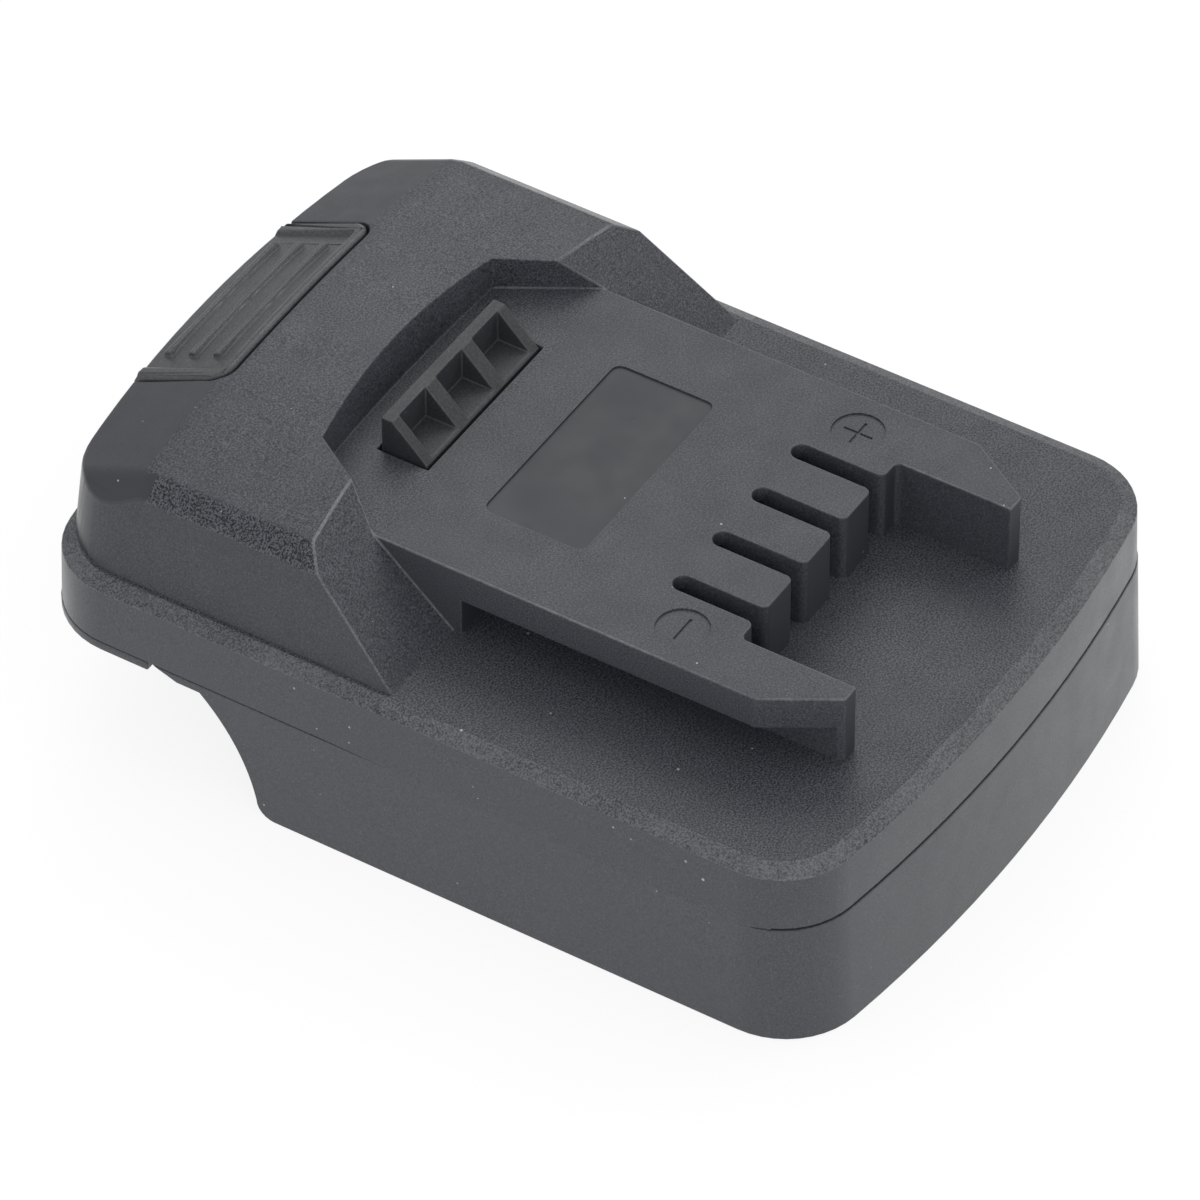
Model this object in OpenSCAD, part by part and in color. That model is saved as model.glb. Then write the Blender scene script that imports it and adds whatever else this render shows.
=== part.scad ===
// Slide-on battery adapter for cordless tools. The top carries the tool's rail,
// terminal slots and sprung latch. The underside is a bay for another slide battery.
// X runs across, -Y is the fork end that goes into the tool, +Y the button end, +Z is up.

/* [Shells] */
// Width across the rim of the upper shell
body_w = 80; // [76:1:96]
// Length along the rim of the upper shell
body_l = 109; // [104:1:130]
// How much further the rear end reaches than the front end
rear_reach = 0.8; // [0:0.1:1.4]
// Plan radius of the four corners
corner_r = 10; // [8:1:13]
// How far each end bows outwards over the full width
end_bow = 4; // [2:0.5:6]
// Wall thickness of both shells
wall = 2.4; // [1.8:0.2:3]
// Height of the seam between the two shells
seam_z = 17; // [15:0.5:24]
// How far the lower shell stands proud of the upper one at the seam
seam_step = 0.35; // [0.1:0.05:0.6]
// Height of the upper shell's side wall above the seam
rim_h = 7.8; // [6.6:0.2:12]
// Outward lean of the upper shell's side wall over its height
rim_flare = 0.25; // [0:0.05:0.3]
// Width of the chamfer around the deck
rim_chamfer_w = 2; // [1:0.2:2.4]
// Height of the chamfer around the deck
rim_chamfer_h = 0.9; // [0.4:0.1:2]
// Thickness of the deck
deck_t = 2; // [1.6:0.2:2.6]
// Thickness of the lower shell's lip that shows under the seam at the rear
lip_t = 1.2; // [0.8:0.1:2]
// Height of the step on the lower shell that locates inside the upper one
spigot_h = 1.8; // [1.2:0.2:2.4]
// Clearance between parts that slip together
fit_gap = 0.15; // [0.1:0.05:0.3]

/* [Skirt] */
// Y of the skirt's rear end at its bottom edge
skirt_rear_y = 22; // [10:1:26]
// Y where the skirt's rear curve reaches the lip
skirt_root_y = 29.4; // [28:0.2:34]
// Radius of the skirt's concave rear curve
skirt_curve_r = 25; // [18:1:60]
// Radius of the skirt's lower rear corner
skirt_corner_r = 2.5; // [1:0.5:4]
// How far the skirt's front wall leans out towards its bottom edge
skirt_front_lean = 0.8; // [0:0.1:1.5]
// Y where the skirt's strip under the seam starts to taper towards the notch
lip_taper_y = 32.5; // [31:0.2:34.4]
// Y of the small relief notch in the lip
lip_notch_y = 36.2; // [35:0.2:40]
// Width of the small relief notch in the lip
lip_notch_w = 0.5; // [0.3:0.1:1]

/* [Hood] */
// Width of the hood at the deck
hood_w = 75; // [70:1:76]
// Inward lean of the hood's side walls, in degrees
hood_side_lean = 15.5; // [8:0.5:18]
// Height of the hood's top above the deck
hood_h = 14.75; // [13.6:0.25:18]
// Y of the front slope's foot on the deck
hood_front_y = 4.7; // [2:0.1:8]
// Angle of the front slope, in degrees
hood_front_angle = 42; // [38:1:50]
// Length of the rear slope in plan, from the crest to the rear wall
hood_slope_l = 13.1; // [12:0.1:16]
// Angle of the rear slope below level, in degrees
hood_rear_angle = 25; // [20:1:28]
// Distance of the hood's rear wall inside the rim
hood_rear_inset = 1; // [0.5:0.1:2.4]
// How far the hood's rear wall bows outwards over the hood's width
hood_bow = 3; // [2:0.5:4]
// Plan radius of the hood's rear corners
hood_corner_r = 10; // [7:0.5:12]
// Radius of the crown across the top
hood_crown_r = 236; // [160:2:400]
// Width of the crowned top between its side chamfers
hood_flat_w = 64; // [58:1:66]
// Angle of the side chamfers below level, in degrees
hood_chamfer_angle = 38; // [30:1:45]
// Radius of the edge between the crowned top and its side chamfers
hood_edge_r = 1.4; // [0.6:0.1:3]
// Radius of the same edge on the rear slope, where it fades out
hood_rear_edge_r = 3.5; // [1.5:0.5:8]
// Drop of the eased crest between the top and the rear slope
crest_ease = 0.25; // [0.1:0.05:0.5]

/* [Rail platform] */
// Width across the two rail lips
platform_w = 49.5; // [48:0.5:54]
// Height of the platform above the deck
platform_h = 9.5; // [9:0.1:11]
// Thickness of the platform's top skin
skin_t = 2.2; // [1.8:0.2:2.6]
// Thickness of each rail lip
rail_lip_t = 4.5; // [3:0.1:5]
// Overhang of each rail lip beyond its web
rail_lip_w = 4.9; // [4.2:0.1:5.4]
// Y where the rail undercuts end at the rear
undercut_rear_y = 3.5; // [0:0.5:6]
// Y of the front faces of the terminal fingers
finger_y = -28.9; // [-32:0.1:-27]
// Length of the fork arms in front of the fingers
arm_l = 15.1; // [12:0.1:18]
// Gap between the two fork arms
arm_gap_w = 34.2; // [33:0.2:36]
// Radius of the hollow corner at the root of each arm
arm_root_r = 0.8; // [0.4:0.1:1.2]
// Length of the slanted outer corner of each arm
arm_slant_l = 8.6; // [6:0.1:10]
// Width of each arm's blunt tip
arm_tip_w = 2.4; // [1.6:0.1:4]
// Spacing of the terminal slots
slot_pitch = 8.6; // [8:0.1:9]
// Width of each terminal slot
slot_w = 2.5; // [1.8:0.1:3]
// Length of each terminal slot
slot_l = 11.4; // [9:0.1:12.4]
// Radius of the fingers' front corners
finger_r = 1; // [0.4:0.1:1.4]
// Width of the recess's rear wall behind the latch
recess_rear_w = 36; // [32:0.5:40]
// Bow of the recess's rear wall at its floor
recess_bow = 0.6; // [0.2:0.1:1.2]
// Bow of the recess's rear wall at its top
recess_top_bow = 2.3; // [1:0.1:3]
// Gap behind the latch for the tool's catch
catch_gap = 4.6; // [4.2:0.1:6]

/* [Latch and button] */
// Width of the latch block
latch_w = 24; // [20:0.5:26]
// Height of the latch above the platform
latch_rise = 4.7; // [3.6:0.1:5]
// Angle of the latch's front ramp, in degrees
latch_ramp_angle = 45; // [40:1:55]
// Width of the ridge on top of the latch
latch_ridge_w = 1.5; // [1:0.1:2.4]
// Distance of the latch behind the front slope's line on the platform
latch_setback = 1; // [0.6:0.1:2]
// Height of the sill in front of the pockets in the ramp
latch_sill_h = 0.3; // [0.3:0.1:1.2]
// Width of each pocket in the ramp
latch_pocket_w = 5.5; // [4:0.1:5.8]
// Spacing of the pockets in the ramp
latch_pocket_pitch = 7.7; // [7:0.1:8.2]
// Running gap around the latch and the button
slide_gap = 0.35; // [0.25:0.05:0.5]
// How far the latch and button travel down
latch_travel = 4.8; // [3.6:0.1:5]
// Width of the button at its front edge
button_w = 31.8; // [28:0.2:33]
// Widening of the button towards the rear, in degrees
button_taper = 1; // [0.5:0.5:3]
// Setback of the button behind the crest
button_setback = 0.2; // [0.1:0.1:1]
// Radius of the button's front corners
button_r = 2.4; // [2:0.2:4]
// Wall thickness of the button
button_t = 2.2; // [1.6:0.1:2.6]
// How far the button stands proud of the hood
button_proud = 0.2; // [0.2:0.05:0.6]
// Width of the raised rim around the finger pad
button_rim_w = 1.4; // [1:0.1:2]
// Depth of the finger pad below that rim, at the crest
pad_depth = 0.7; // [0.6:0.1:1.2]
// How much flatter than the rear slope the finger pad lies, in degrees
pad_rise = 0.8; // [0:0.1:1.4]
// Slope of the finger pad's two end walls, in degrees
pad_end_angle = 40; // [30:1:60]
// Length of the grip ribs
rib_l = 22.8; // [16:0.2:24]
// Radius of the grip ribs
rib_r = 0.6; // [0.4:0.1:0.8]
// Distance of the first grip rib behind the crest, along the slope
rib_start = 4.9; // [4.4:0.1:5.2]
// Spacing of the grip ribs along the slope
rib_pitch = 3.8; // [3.4:0.1:4]
// Thickness of the plate that joins the latch and the button
slider_t = 2.5; // [2:0.1:3]
// Half width of that plate
slider_half_w = 21.5; // [21:0.1:22]
// Wire diameter of the return springs
spring_wire_d = 0.8; // [0.6:0.1:1]
// Mean diameter of the return springs
spring_d = 5.8; // [5.4:0.1:6.2]
// Turns of each return spring
spring_turns = 5; // [4:1:6]

/* [Battery bay] */
// Height of the bay rails above the skirt's bottom edge
bay_rail_z = 4.5; // [3:0.5:6]
// Thickness of the bay rails
bay_rail_t = 4; // [3:0.5:5]
// Inward reach of the bay rails
bay_rail_w = 6.5; // [4:0.5:8]
// Width of the pocket that takes the battery's own hook
hook_pocket_w = 24; // [18:1:26]
// Length of the pocket that takes the battery's own hook
hook_pocket_l = 6.5; // [5:0.5:8]
// Width of the terminal block
block_w = 44; // [40:1:52]
// Length of the terminal block
block_l = 14; // [12:1:16]
// Height of the terminal block below the bay's ceiling
block_h = 11.3; // [9:0.1:12]
// Spacing of the outer terminal blades
blade_spacing = 32; // [28:1:36]
// Thickness of the terminal blades
blade_t = 1; // [0.8:0.1:1.2]
// Height of the outer terminal blades
blade_h = 7; // [5:0.5:8]
// Length of the outer blades beyond the block
blade_l = 14; // [10:1:16]
// Height of the signal blade
signal_blade_h = 4; // [3.2:0.2:5]
// Length of the signal blade beyond the block
signal_blade_l = 9; // [7:0.5:12]

/* [Inside] */
// Thickness of the sheet metal in the tool-side clips
clip_t = 0.5; // [0.4:0.1:0.6]
// Height of the tool-side clips
clip_h = 5.5; // [4:0.1:5.8]
// Thickness of the circuit board
board_t = 1.6; // [1:0.2:2]
// Length of the circuit board
board_l = 11; // [9:0.5:11.2]
// Width of the circuit board
board_w = 50; // [46:1:56]
// Width of the power transistors
transistor_w = 6.6; // [5:0.1:7]
// Length of the power transistors
transistor_l = 6; // [4:0.1:6.4]
// Height of the power transistors
transistor_h = 2.3; // [1.6:0.1:2.6]
// Width of the control chip
chip_w = 5; // [3:0.1:6]
// Length of the control chip
chip_l = 4; // [3:0.1:6]
// Height of the control chip
chip_h = 1.5; // [1:0.1:2]
// Diameter of the capacitor's can
capacitor_d = 6.3; // [4:0.1:6.4]
// Height of the capacitor's can
capacitor_h = 6; // [4:0.1:7.2]
// Diameter of the two supply wires
wire_d = 2.2; // [1.6:0.1:2.4]
// Diameter of the signal wire
signal_wire_d = 1.2; // [0.8:0.1:1.6]
// Shank radius of the case screws
case_screw_r = 1.4; // [1.2:0.1:1.6]
// Shank radius of the small screws inside
small_screw_r = 1; // [0.8:0.1:1.2]

/* [Hidden] */

$fn = 48;
corner_steps = 10;
bow_steps = 14;
crown_steps = 16;
edge_steps = 6;
far = 3 * body_l;
over = 0.5;

shell_grey = [0.2, 0.205, 0.215];
button_grey = [0.17, 0.175, 0.185];
insulator_black = [0.1, 0.1, 0.11];
nickel = [0.72, 0.7, 0.64];
steel = [0.5, 0.51, 0.53];
board_green = [0.05, 0.26, 0.14];

// Heights of the case
bow_r = (pow(body_w / 2, 2) + end_bow * end_bow) / (2 * end_bow);
hood_bow_r = (pow(hood_w / 2, 2) + hood_bow * hood_bow) / (2 * hood_bow);
rim_z = seam_z + rim_h;
deck_z = rim_z + rim_chamfer_h;
platform_z = deck_z + platform_h;
hood_top_z = deck_z + hood_h;
ceiling_z = seam_z - lip_t;
plate_top_z = seam_z + spigot_h;

// Places along the hood
slope_platform_y = hood_front_y + platform_h / tan(hood_front_angle);
rear_end_y = body_l / 2 + rear_reach;
hood_rear_y = rear_end_y - hood_rear_inset;
crest_rear_y = hood_rear_y - hood_slope_l;
hood_low_z = deck_z - deck_t - over;

// Places on the platform
web_x = platform_w / 2 - rail_lip_w;
arm_front_y = finger_y - arm_l;
slot_rear_y = finger_y + slot_l;
cavity_front_y = slot_rear_y + 3;
slot_xs = [for (i = [-1.5:1:1.5]) i * slot_pitch];

// Latch, button and the plate between them
latch_front_y = slope_platform_y + latch_setback;
ridge_front_y = latch_front_y + latch_rise / tan(latch_ramp_angle);
latch_rear_y = ridge_front_y + latch_ridge_w;
latch_top_z = platform_z + latch_rise;
recess_rear_y = latch_rear_y + catch_gap - recess_bow;
button_front_y = crest_rear_y + button_setback;
notch_sill_z = deck_z + 0.6;
apron_z = notch_sill_z + latch_travel + slide_gap;
stop_gap = 0.2;
stop_h = 1.3;
slider_top_z = platform_z - skin_t - stop_gap - stop_h;
slider_low_z = slider_top_z - slider_t;
skirt_wall_t = 1.6;
inner_skirt_y = hood_rear_y - wall - slide_gap - 0.9;
inner_skirt_z = plate_top_z + latch_travel + 0.8;
slider_rear_y = inner_skirt_y - skirt_wall_t - fit_gap;
button_post_x = button_w / 3;
button_post_y = (button_front_y + slider_rear_y) / 2;
button_post_r = small_screw_r + 1.4;

// Return springs stand between pegs on the lower shell and on the slider
spring_x = 16.8;
spring_y = (recess_rear_y + slider_rear_y) / 2;
spring_peg_r = (spring_d - spring_wire_d) / 2 - 0.3;
spring_peg_h = 1.8;
spring_end_gap = 0.15;

// Battery bay
bay_inset = wall - seam_step;
bay_front_y = -body_l / 2 + bay_inset;
bay_rail_front_y = -38;
lip_notch_depth = 1.6;
hook_pocket_y = recess_rear_y + 2;
hook_pocket_z = ceiling_z + 5;
pocket_roof_t = 1.2;
block_front_y = bay_front_y + 2.4;
block_rear_y = block_front_y + block_l;
block_low_z = ceiling_z - block_h;
blade_low_z = block_low_z + 1.5;
blade_root_y = block_rear_y - 8;
blade_tail_l = 3;
blade_tail_z = plate_top_z + 2.6;

// Circuit board, tool-side terminals and wires
board_y = undercut_rear_y - 1;
board_low_z = plate_top_z + 0.6;
board_top_z = board_low_z + board_t;
board_screw_x = board_w / 2 - 3;
board_screw_y = board_y + board_l / 2;
wire_z = plate_top_z + 0.3 + wire_d / 2;
wire_end_x = 7.5;
holder_half_w = web_x - wall - fit_gap;
holder_front_y = cavity_front_y + fit_gap;
holder_rear_y = board_y - 1;
holder_low_z = wire_z + wire_d / 2 + 0.4;
holder_top_z = platform_z - skin_t - fit_gap;
holder_foot_x = 13;
holder_foot_r = 3;
holder_foot_y = (holder_front_y + holder_rear_y) / 2;
clip_low_z = holder_top_z - 1 - clip_h;
clip_root_y = holder_front_y + 10;
clip_half_w = 1.6;
clip_tail_w = 0.8;
clip_tail_h = 2;
clip_foot_y = board_y + 1;
clip_foot_l = 1.5;
part_gap = 1;

// Screws
pan_head = 2;
case_screw_front = [body_w / 2 - 7.5, -body_l / 2 + 10];
case_screw_rear = [hood_w / 2 - 8, hood_rear_y - 9.1];
case_head_h = 1.8;
case_seat_z = ceiling_z + case_head_h + 0.2;
case_screw_tip_z = deck_z - deck_t - 0.6;
boss_r = case_screw_r + 2;
small_head_h = 1.4;
small_screw_l = 4.5;

// Points along an arc, both ends included
function arc_points(centre, r, from, to, steps) =
    [for (i = [0:steps]) let (a = from + (to - from) * i / steps) centre + r * [cos(a), sin(a)]];

// One bowed end of a plan outline, from its right side round to its left side
function end_points(half_w, end_y, bow, r) =
    let (bow_y = end_y - bow,
        cx = half_w - r,
        cy = bow_y + sqrt(pow(bow - r, 2) - cx * cx),
        turn = atan2(cy - bow_y, cx),
        bow_arc = arc_points([0, bow_y], bow, turn, 180 - turn, bow_steps))
    concat(arc_points([cx, cy], r, 0, turn, corner_steps),
        [for (i = [1:bow_steps - 1]) bow_arc[i]],
        arc_points([-cx, cy], r, 180 - turn, 180, corner_steps));

// Plan outline of the case, moved outwards by grow
function body_points(grow) =
    let (half_w = body_w / 2 + grow,
        rear = end_points(half_w, rear_end_y + grow, bow_r + grow, corner_r + grow),
        front = end_points(half_w, body_l / 2 + grow, bow_r + grow, corner_r + grow))
    concat(rear, [for (p = front) -p]);

// Moves the front half of an outline forwards, for the skirt's leaning front wall
function lean_front(points) =
    [for (p = points) p[1] < 0 ? p - [0, skirt_front_lean] : p];

// Plan outline of the hood at height z, moved inwards by inset
function hood_points(z, inset) =
    let (half_w = hood_w / 2 - (z - deck_z) * tan(hood_side_lean) - inset,
        front_y = hood_front_y - 5)
    concat(end_points(half_w, hood_rear_y - inset, hood_bow_r - inset, hood_corner_r - inset),
        [[-half_w, front_y], [half_w, front_y]]);

// Plan outline of the recess around the latch, with a bowed rear wall, moved outwards by grow
function recess_points(bow, grow) =
    let (mouth = platform_w / 2 + grow,
        rear = recess_rear_w / 2 + 0.7 * grow,
        r = (rear * rear + bow * bow) / (2 * bow),
        half_turn = asin(rear / r),
        rear_y = recess_rear_y + grow)
    concat([[-mouth, slope_platform_y - 4], [mouth, slope_platform_y - 4], [mouth, slope_platform_y]],
        arc_points([0, rear_y + bow - r], r, 90 - half_turn, 90 + half_turn, 16),
        [[-mouth, slope_platform_y]]);

// Solid through a stack of rings, each [z, plan points]
module loft(rings) {
    n = len(rings[0][1]);
    last = len(rings) - 1;
    points = [for (ring = rings) for (p = ring[1]) [p[0], p[1], ring[0]]];
    sides = [for (k = [0:last - 1]) for (i = [0:n - 1])
        let (a = k * n + i, b = k * n + (i + 1) % n)
        each [[a, a + n, b + n], [a, b + n, b]]];
    caps = [[for (i = [0:n - 1]) i], [for (i = [n - 1:-1:0]) last * n + i]];
    polyhedron(points, concat(caps, sides), convexity = 6);
}

// Upright prism of a plan outline between two heights
module prism(z0, z1) {
    translate([0, 0, z0])
        linear_extrude(z1 - z0)
            children();
}

// Extrudes an X-Z section along Y, or a Y-Z section along X
module along_y(l) {
    rotate([90, 0, 0])
        linear_extrude(l, center = true)
            children();
}

module along_x(l) {
    rotate([90, 0, 90])
        linear_extrude(l, center = true)
            children();
}

module at_both_sides() {
    children();
    mirror([1, 0, 0])
        children();
}

// Pan head screw with a cross recess, head up, seated on z = 0
module screw(r, l, head_h) {
    head_r = pan_head * r;
    difference() {
        union() {
            cylinder(r = head_r, h = head_h);
            translate([0, 0, -l])
                cylinder(r = r, h = l + over);
        }
        for (turn = [0, 90])
            rotate([0, 0, turn])
                translate([-head_r * 0.6, -r * 0.2, head_h * 0.4])
                    cube([head_r * 1.2, r * 0.4, head_h]);
    }
}

module turned_over(z) {
    translate([0, 0, z])
        rotate([180, 0, 0])
            children();
}

// Cross section of the hood: crowned top, side chamfers and the round edge between them,
// moved inwards by inset
module hood_section(inset, edge_r) {
    crown_z = hood_top_z - hood_crown_r;
    crown = hood_crown_r - inset;
    r = max(0.3, edge_r - inset);
    fall = tan(hood_chamfer_angle);
    edge_z = crown_z + sqrt(pow(hood_crown_r, 2) - pow(hood_flat_w / 2, 2));
    apex_z = edge_z + fall * hood_flat_w / 2 - inset / cos(hood_chamfer_angle);
    out = [sin(hood_chamfer_angle), cos(hood_chamfer_angle)];
    along = [out[1], -out[0]];
    reach = (apex_z - crown_z) * out[1] - r;
    centre = [0, crown_z] + reach * out - sqrt(pow(crown - r, 2) - reach * reach) * along;
    turn = atan2(centre[1] - crown_z, centre[0]);
    edge = arc_points(centre, r, 90 - hood_chamfer_angle, turn, edge_steps);
    top = arc_points([0, crown_z], crown, turn, 180 - turn, crown_steps);
    low_z = deck_z - far / 4;
    low_x = (apex_z - low_z) / fall;
    polygon(concat([[low_x, low_z]], edge, [for (i = [1:crown_steps - 1]) top[i]],
        [for (i = [edge_steps:-1:0]) [-edge[i][0], edge[i][1]]], [[-low_x, low_z]]));
}

// Turns the hood's section down about the crest behind its top
module about_crest(angle, drop) {
    translate([0, crest_rear_y, hood_top_z])
        rotate([-angle, 0, 0])
            translate([0, -crest_rear_y, -hood_top_z - drop])
                children();
}

// The raised hood, with all its faces moved inwards by inset
module hood_form(inset) {
    high_z = hood_top_z + 3;
    along = [cos(hood_front_angle), sin(hood_front_angle)];
    foot = [hood_front_y + inset * along[1], deck_z - inset * along[0]];
    low = foot - 15 * along;
    high = foot + 60 * along;
    intersection() {
        loft([[hood_low_z, hood_points(hood_low_z, inset)], [high_z, hood_points(high_z, inset)]]);
        along_y(far)
            hood_section(inset, hood_edge_r);
        about_crest(hood_rear_angle / 2, crest_ease)
            along_y(far)
                hood_section(inset, (hood_edge_r + hood_rear_edge_r) / 2);
        about_crest(hood_rear_angle, 0)
            along_y(far)
                hood_section(inset, hood_rear_edge_r);
        along_x(far)
            polygon([low, high, [far, high[1]], [far, low[1]]]);
    }
}

// Plan of the rail platform with its fork arms, fingers and terminal slots
module platform_plan() {
    half_w = platform_w / 2;
    arm_x = arm_gap_w / 2;
    difference() {
        union() {
            translate([-half_w, finger_y])
                square([platform_w, recess_rear_y + wall - finger_y]);
            for (side = [0, 1])
                mirror([side, 0]) {
                    polygon([[arm_x, finger_y + over], [arm_x, arm_front_y],
                        [arm_x + arm_tip_w, arm_front_y], [half_w, arm_front_y + arm_slant_l],
                        [half_w, finger_y + over]]);
                    polygon(concat([[arm_x + over, finger_y + over], [arm_x - arm_root_r, finger_y + over]],
                        arc_points([arm_x - arm_root_r, finger_y - arm_root_r], arm_root_r, 90, 0, 6),
                        [[arm_x + over, finger_y - arm_root_r]]));
                }
        }
        for (x = slot_xs) {
            translate([x - slot_w / 2, finger_y - over])
                square([slot_w, slot_l + over - slot_w / 2]);
            translate([x, slot_rear_y - slot_w / 2])
                circle(slot_w / 2);
            for (side = [-1, 1])
                translate([x + side * slot_w / 2, finger_y])
                    finger_corner(side);
        }
    }
}

// Sliver that rounds one front corner of a finger
module finger_corner(side) {
    difference() {
        translate([min(0, side * finger_r), -over])
            square([finger_r, finger_r + over]);
        translate([side * finger_r, finger_r])
            circle(finger_r);
    }
}

// Plan of the button, with its rounded front corners, moved outwards by grow
module button_plan(grow) {
    centre = [button_w / 2 - button_r, button_front_y + button_r];
    r = button_r + grow;
    corner = arc_points(centre, r, -90, -button_taper, 8);
    side_l = (body_l / 2 + 5 - corner[8][1]) / cos(button_taper);
    side_end = corner[8] + side_l * [sin(button_taper), cos(button_taper)];
    right = concat(corner, [side_end]);
    left = [for (i = [len(right) - 1:-1:0]) [-right[i][0], right[i][1]]];
    polygon(concat(right, left));
}

// Section across the finger pad: crowned floor and sloping end walls
module pad_section() {
    pad_inset = pad_depth - button_proud;
    crown = hood_crown_r - pad_inset;
    foot_x = button_w / 2 - button_rim_w - 0.1 - pad_depth / tan(pad_end_angle);
    half_turn = asin(foot_x / crown);
    floor = arc_points([0, hood_top_z - hood_crown_r], crown, 90 - half_turn, 90 + half_turn, crown_steps);
    low_z = hood_top_z - 10;
    end_x = foot_x + 5;
    end_z = floor[0][1] + 5 * tan(pad_end_angle);
    polygon(concat([[end_x, low_z], [end_x, end_z]], floor, [[-end_x, end_z], [-end_x, low_z]]));
}

// Plan of the space under the platform, wider behind the rail undercuts
module platform_cavity_plan() {
    narrow = web_x - wall;
    wide = platform_w / 2 - wall;
    step_y = undercut_rear_y + wall;
    rear_y = recess_rear_y + wall + over;
    polygon([[-narrow, cavity_front_y], [narrow, cavity_front_y], [narrow, step_y], [wide, step_y],
        [wide, rear_y], [-wide, rear_y], [-wide, step_y], [-narrow, step_y]]);
}

module upper_shell() {
    deck_low_z = deck_z - deck_t;
    skin_low_z = platform_z - skin_t;
    color(shell_grey)
        difference() {
            union() {
                difference() {
                    union() {
                        loft([[seam_z, body_points(rim_flare)], [rim_z, body_points(0)],
                            [deck_z, body_points(-rim_chamfer_w)]]);
                        hood_form(0);
                        prism(deck_z - over, platform_z)
                            platform_plan();
                    }
                    prism(seam_z - over, deck_low_z)
                        polygon(body_points(-wall));
                    difference() {
                        hood_form(wall);
                        loft([[skin_low_z, recess_points(recess_bow, wall)],
                            [hood_top_z + over, recess_points(recess_top_bow, wall)]]);
                    }
                    prism(deck_low_z - over, skin_low_z)
                        platform_cavity_plan();
                }
                at_both_sides() {
                    translate([case_screw_front[0], case_screw_front[1], plate_top_z + fit_gap])
                        cylinder(r = boss_r, h = deck_z - over - plate_top_z - fit_gap);
                    intersection() {
                        translate([case_screw_rear[0], case_screw_rear[1], plate_top_z + fit_gap])
                            cylinder(r = boss_r, h = hood_top_z);
                        union() {
                            hood_form(wall / 2);
                            prism(0, hood_low_z + over)
                                polygon(body_points(-wall));
                        }
                    }
                }
            }
            loft([[platform_z, recess_points(recess_bow, 0)],
                [hood_top_z + 2, recess_points(recess_top_bow, 0)]]);
            rail_undercuts();
            for (x = slot_xs)
                translate([x - slot_w / 2, slot_rear_y - slot_w, deck_z + 0.6])
                    cube([slot_w, slot_w + 3 + over, skin_low_z - deck_z - 0.6]);
            translate([-latch_w / 2 - slide_gap, latch_front_y - slide_gap, skin_low_z - over])
                cube([latch_w + 2 * slide_gap, latch_rear_y - latch_front_y + 2 * slide_gap, skin_t + 1]);
            prism(notch_sill_z, hood_top_z + 3)
                button_plan(slide_gap);
            at_both_sides()
                for (place = [case_screw_front, case_screw_rear])
                    translate([place[0], place[1], plate_top_z - over])
                        cylinder(r = case_screw_r + 0.05, h = deck_low_z + over - plate_top_z);
        }
}

// Space under the two rail lips that the tool's rails run in
module rail_undercuts() {
    at_both_sides()
        translate([web_x, arm_front_y - over, deck_z])
            cube([rail_lip_w + over, undercut_rear_y - arm_front_y + over, platform_h - rail_lip_t]);
}

// Side view of the lower shell: skirt, concave rear curve and lip
module skirt_profile() {
    root = [skirt_root_y, ceiling_z];
    toe = [skirt_rear_y, skirt_corner_r];
    half_chord = norm(root - toe) / 2;
    lean = atan2(root[1] - toe[1], root[0] - toe[0]);
    middle = (root + toe) / 2;
    reach = sqrt(pow(skirt_curve_r, 2) - pow(half_chord, 2));
    centre = middle + reach * [sin(lean), -cos(lean)];
    from = atan2(toe[1] - centre[1], toe[0] - centre[0]);
    to = atan2(root[1] - centre[1], root[0] - centre[0]);
    toe_arc = arc_points([skirt_rear_y - skirt_corner_r, skirt_corner_r], skirt_corner_r, -90, 0, 6);
    curve = arc_points(centre, skirt_curve_r, from < 0 ? from + 360 : from, to, 12);
    polygon(concat([[-far, 0]], toe_arc, [for (i = [1:12]) curve[i]],
        [[far, ceiling_z], [far, seam_z], [-far, seam_z]]));
}

// Side view of the notch in the lip, with the taper that leads up to it
module lip_notch_profile() {
    front_y = lip_notch_y - lip_notch_w / 2;
    rear_y = lip_notch_y + lip_notch_w / 2;
    low_z = ceiling_z - over;
    polygon([[lip_taper_y, low_z], [rear_y, low_z], [rear_y, seam_z], [front_y, seam_z],
        [lip_taper_y, ceiling_z]]);
}

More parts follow.
